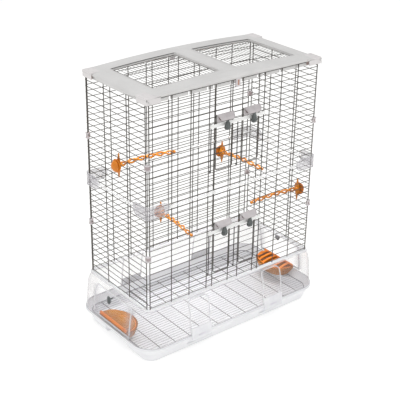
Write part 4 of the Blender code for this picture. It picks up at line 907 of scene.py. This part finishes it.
def buildRoofGrille(name, sign):
    bm = bmesh.new()
    left, right = sorted((sign * 34.3, sign * 288.7))
    braceY, edgeY = roofGrille["braceY"], roofGrille["halfY"] - 0.9
    xs = [left + 1.2 + (right - left - 2.4) * step / 16 for step in range(17)]
    for y in (-edgeY, edgeY):
        addWire(bm, [(x, y, roofZ(x) - 7.6) for x in xs], roofGrille["frame"], 8)
    for x in (left + 1.2, right - 1.2):
        addWire(bm, [(x, y, roofZ(x) - 7.6) for y in (-roofGrille["halfY"], roofGrille["halfY"])],
                roofGrille["frame"], 8)
    for y in (-braceY, braceY):
        addWire(bm, [(x, y, roofZ(x) - 8.4) for x in xs], roofGrille["brace"], 8)
    first = (left + right) / 2 - (roofGrille["bars"] - 1) * roofGrille["pitch"] / 2
    for index in range(roofGrille["bars"]):
        x = first + index * roofGrille["pitch"]
        stops, swell = [], []
        for y in (-edgeY, -braceY, braceY, edgeY):
            for step, grow in ((-2.4, 1.0), (-0.8, 1.2), (0.8, 1.2), (2.4, 1.0)):
                stops.append((x, y + step if abs(y) < 100 else y + step * 0.3, roofZ(x) - 6.5))
                swell.append(grow)
        addWire(bm, stops, roofGrille["bar"], 8, swell=swell)
    makePiece(f"roof_wires_{name}", bm, "powderCoatedWire", "cage", [f"roof_grille_{name}"])


buildRoof()
for name, sign in sides.items():
    buildRoofGrille(name, sign)
print("roof built")

# twisted perches, each held by a plate inside the wires and a dome nut outside
perch = dict(length=218, turns=3, strand=2.9, spread=5.2, bow=6, tip=5.8, nut=23, nutHigh=19)
perches = {
    "left": ((-351.5, -10, 652), (-134, -20, 648)),
    "back_right": ((221, 169, 498.5), (231, -50, 501)),
    "back_left": ((-57, 169, 333), (-83, -50, 335)),
    "right": ((351.5, -108, 415.7), (131, -100, 418)),
}


def buildPerch(name, base, tip):
    base, tip = Vector(base), Vector(tip)
    onEnd = abs(base.x) > 330
    normal = Vector((-copysign(1, base.x), 0, 0) if onEnd else (0, -copysign(1, base.y), 0))
    across = Vector((0, 0, 1)).cross(normal)
    inside = base + normal * 2.4
    reach = tip - inside
    slopeSide, slopeUp = reach.dot(across) / perch["length"], reach.z / perch["length"]

    def place(x, y, z):
        along = max(x - 10, 0)
        return inside + normal * x + across * (y + along * slopeSide) + Vector((0, 0, z + along * slopeUp))

    bm = bmesh.new()
    end = perch["length"] - perch["tip"] / 2
    for phase in (0, pi):
        points, swell = [], []
        count = perch["turns"] * 20
        for step in range(count + 1):
            share = step / count
            turn = 2 * pi * perch["turns"] * share + phase
            spread = perch["spread"] * min(1, 8 * (1 - share) + 0.25)
            bow = perch["bow"] * sin(pi * share)
            points.append(place(3 + (end - 3) * share, spread * cos(turn), bow + spread * sin(turn)))
            swell.append(1.15 - 0.2 * share)
        addWire(bm, points, perch["strand"], 10, swell=swell)
    addLathe(bm, ballProfile(5.4, 10), 18, Matrix.Translation(place(212, 0, 0.6)))
    outline = ((0.8, 42), (2.2, 38), (4.4, 26), (8.6, 14), (11.4, 6), (12, 0))
    full = list(outline) + [(w, -h) for w, h in reversed(outline[:-1])]
    full += [(-w, h) for w, h in reversed(full)]
    layers = ((0, 0.97), (0.6, 1.0), (2.2, 1.0), (3.4, 0.93), (4.0, 0.82), (4.6, 0.5), (5.0, 0.2))
    addRings(bm, [[place(x, w * size, h * size) for w, h in full] for x, size in layers])
    basis = Matrix((across, Vector((0, 0, 1)), normal)).transposed().to_4x4()
    addLathe(bm, ((8.6, 0), (8.6, 4.4), (7.8, 6.6), (6.2, 10.4), (4.6, 14.0), (0, 15.4)), 24,
             Matrix.Translation(inside) @ basis)
    makePiece(f"perch_twist_{name}", bm, "orangeStrand", "cage", [f"perch_{name}"])
    bm = bmesh.new()
    basis = Matrix((across, Vector((0, 0, -1)), -normal)).transposed().to_4x4()
    radius, high = perch["nut"], perch["nutHigh"]
    profile = ((0.92, 0), (1.0, 0.8), (1.0, 2.8), (0.94, 3.6), (0.62, 3.8), (0.62, 6.4), (0.84, 6.6), (0.86, 7.4),
               (0.80, 9.0), (0.70, 12.0), (0.54, 15.2), (0.34, 17.6), (0.14, 18.8), (0, high))
    addLathe(bm, [(radius * share, z) for share, z in profile], 48, Matrix.Translation(base - normal * 2.4) @ basis,
             lobes=12, lobeDepth=0.05)
    makePiece(f"dome_nut_{name}", bm, "orangePolypropylene", "cage", [f"perch_nut_{name}"])


for name, (base, tip) in perches.items():
    buildPerch(name, base, tip)
print("perches built")

# feeding cups: amber D-shaped bowls under slotted orange hoods
cup = dict(face=381, half=80, depth=84, hoodDepth=76, slats=6, slatPitch=24.4)


def cupRing(inset, scale, z, deep=cup["depth"], steps=24):
    halfWidth = (cup["half"] - inset) * scale
    reach = (deep - 2 * inset) * scale
    points = [(inset, -halfWidth, z), (inset, halfWidth, z)]
    for step in range(1, steps):
        turn = pi / 2 - pi * step / steps
        points.append((inset + reach * abs(cos(turn)) ** 0.75, halfWidth * sin(turn), z))
    return points


def buildCup(name, sign):
    def place(points):
        return [Vector((sign * (cup["face"] - x), y, z)) for x, y, z in points]

    bm = bmesh.new()
    section = ((17.8, 1.09, 42.2), (16.9, 1.10, 42.8), (15.4, 1.09, 44.4), (6.4, 1.03, 57), (0.6, 1.0, 65.4),
               (0.2, 1.0, 70), (-0.5, 1.0, 70.8), (-0.5, 1.0, 72.6), (0.2, 1.0, 73.2), (1.8, 1.0, 73.2),
               (2.4, 1.0, 72.4), (3.0, 1.0, 65.2), (8.6, 1.03, 57), (17.8, 1.09, 45.4), (20, 1.09, 44.4))
    addRings(bm, [place(cupRing(*station)) for station in section])
    makePiece(f"bowl_{name}", bm, "amberBowl", "cage", [f"cup_{name}"])
    bm = bmesh.new()  # hood: a thick band along the flat side, a rim round the bowl and what lies between
    section = ((0.5, 73.6), (0.5, 80.4), (1.2, 82.2), (2.6, 83.1), (5.4, 83.2), (7.6, 82.4), (7.6, 80.4), (5.0, 80.6),
               (3.6, 79.6), (3.0, 78.0), (3.0, 73.6))
    along = ((-79.4, 0.86), (-78.6, 0.97), (-76, 1.0), (76, 1.0), (78.6, 0.97), (79.4, 0.86))
    addRings(bm, [[(sign * (cup["face"] - 4 - (x - 4) * size), y, 78 + (z - 78) * size) for x, z in section]
                  for y, size in along])
    addWire(bm, place(cupRing(1.8, 1.0, 75.0, cup["hoodDepth"], 36)[2:]), 1.7, 8, flat=0.8)
    if sign > 0:
        addSlats(bm, sign)
    makePiece(f"cup_bars_{name}", bm, "paintedLitHoodOrange", "cage", [f"cup_hood_{name}"])
    if sign > 0:
        return
    bm = bmesh.new()  # the left cup's cover is smooth, with one curved mouth at its front
    rows = []
    for inset, z in ((2.2, 75.4), (3.6, 78.4), (6.4, 80.6), (10, 81.6), (15, 82.0)):
        ring = place(cupRing(inset, 1.0, z, cup["hoodDepth"], 36))
        rows.append([bm.verts.new(point) for point in ring])
    for first, second in zip(rows, rows[1:]):
        for index in range(len(first)):
            after = (index + 1) % len(first)
            bm.faces.new((first[index], first[after], second[after], second[index]))
    bm.faces.new(rows[-1])
    makePiece(f"cup_cover_{name}", bm, "amberBowl", "cage")
    bm = bmesh.new()
    turns = [radians(180 * step / 16) for step in range(17)]
    addWire(bm, place([(9 + 50 * sin(turn), -22 + 42 * cos(turn), 82.2) for turn in turns]), 0.9, 8, domed=True)
    makePiece(f"cup_mouth_{name}", bm, "orangePolypropylene", "cage")


def addSlats(bm, sign):
    for index in range(cup["slats"]):
        y = (index - (cup["slats"] - 1) / 2) * cup["slatPitch"]
        reach = 72 * cos(asin(min(abs(y) / 78, 1))) ** 0.75
        rows = []
        for share, z in ((0.04, 82.2), (0.3, 82.4), (0.6, 81.2), (0.82, 79.0), (0.95, 76.6), (1.0, 74.4)):
            x, half = 2 + (reach - 2) * share, 4.6
            near, far = sign * (cup["face"] - x), sign * (cup["face"] - x + 0.8)
            rows.append([(near, y - half, z), (near, y - half + 1, z + 0.6), (near, y + half - 1, z + 0.6),
                         (near, y + half, z), (far, y + half, z - 2.2), (far, y - half, z - 2.2)])
        addRings(bm, rows)


for name, sign in sides.items():
    buildCup(name, sign)
print("cups built")
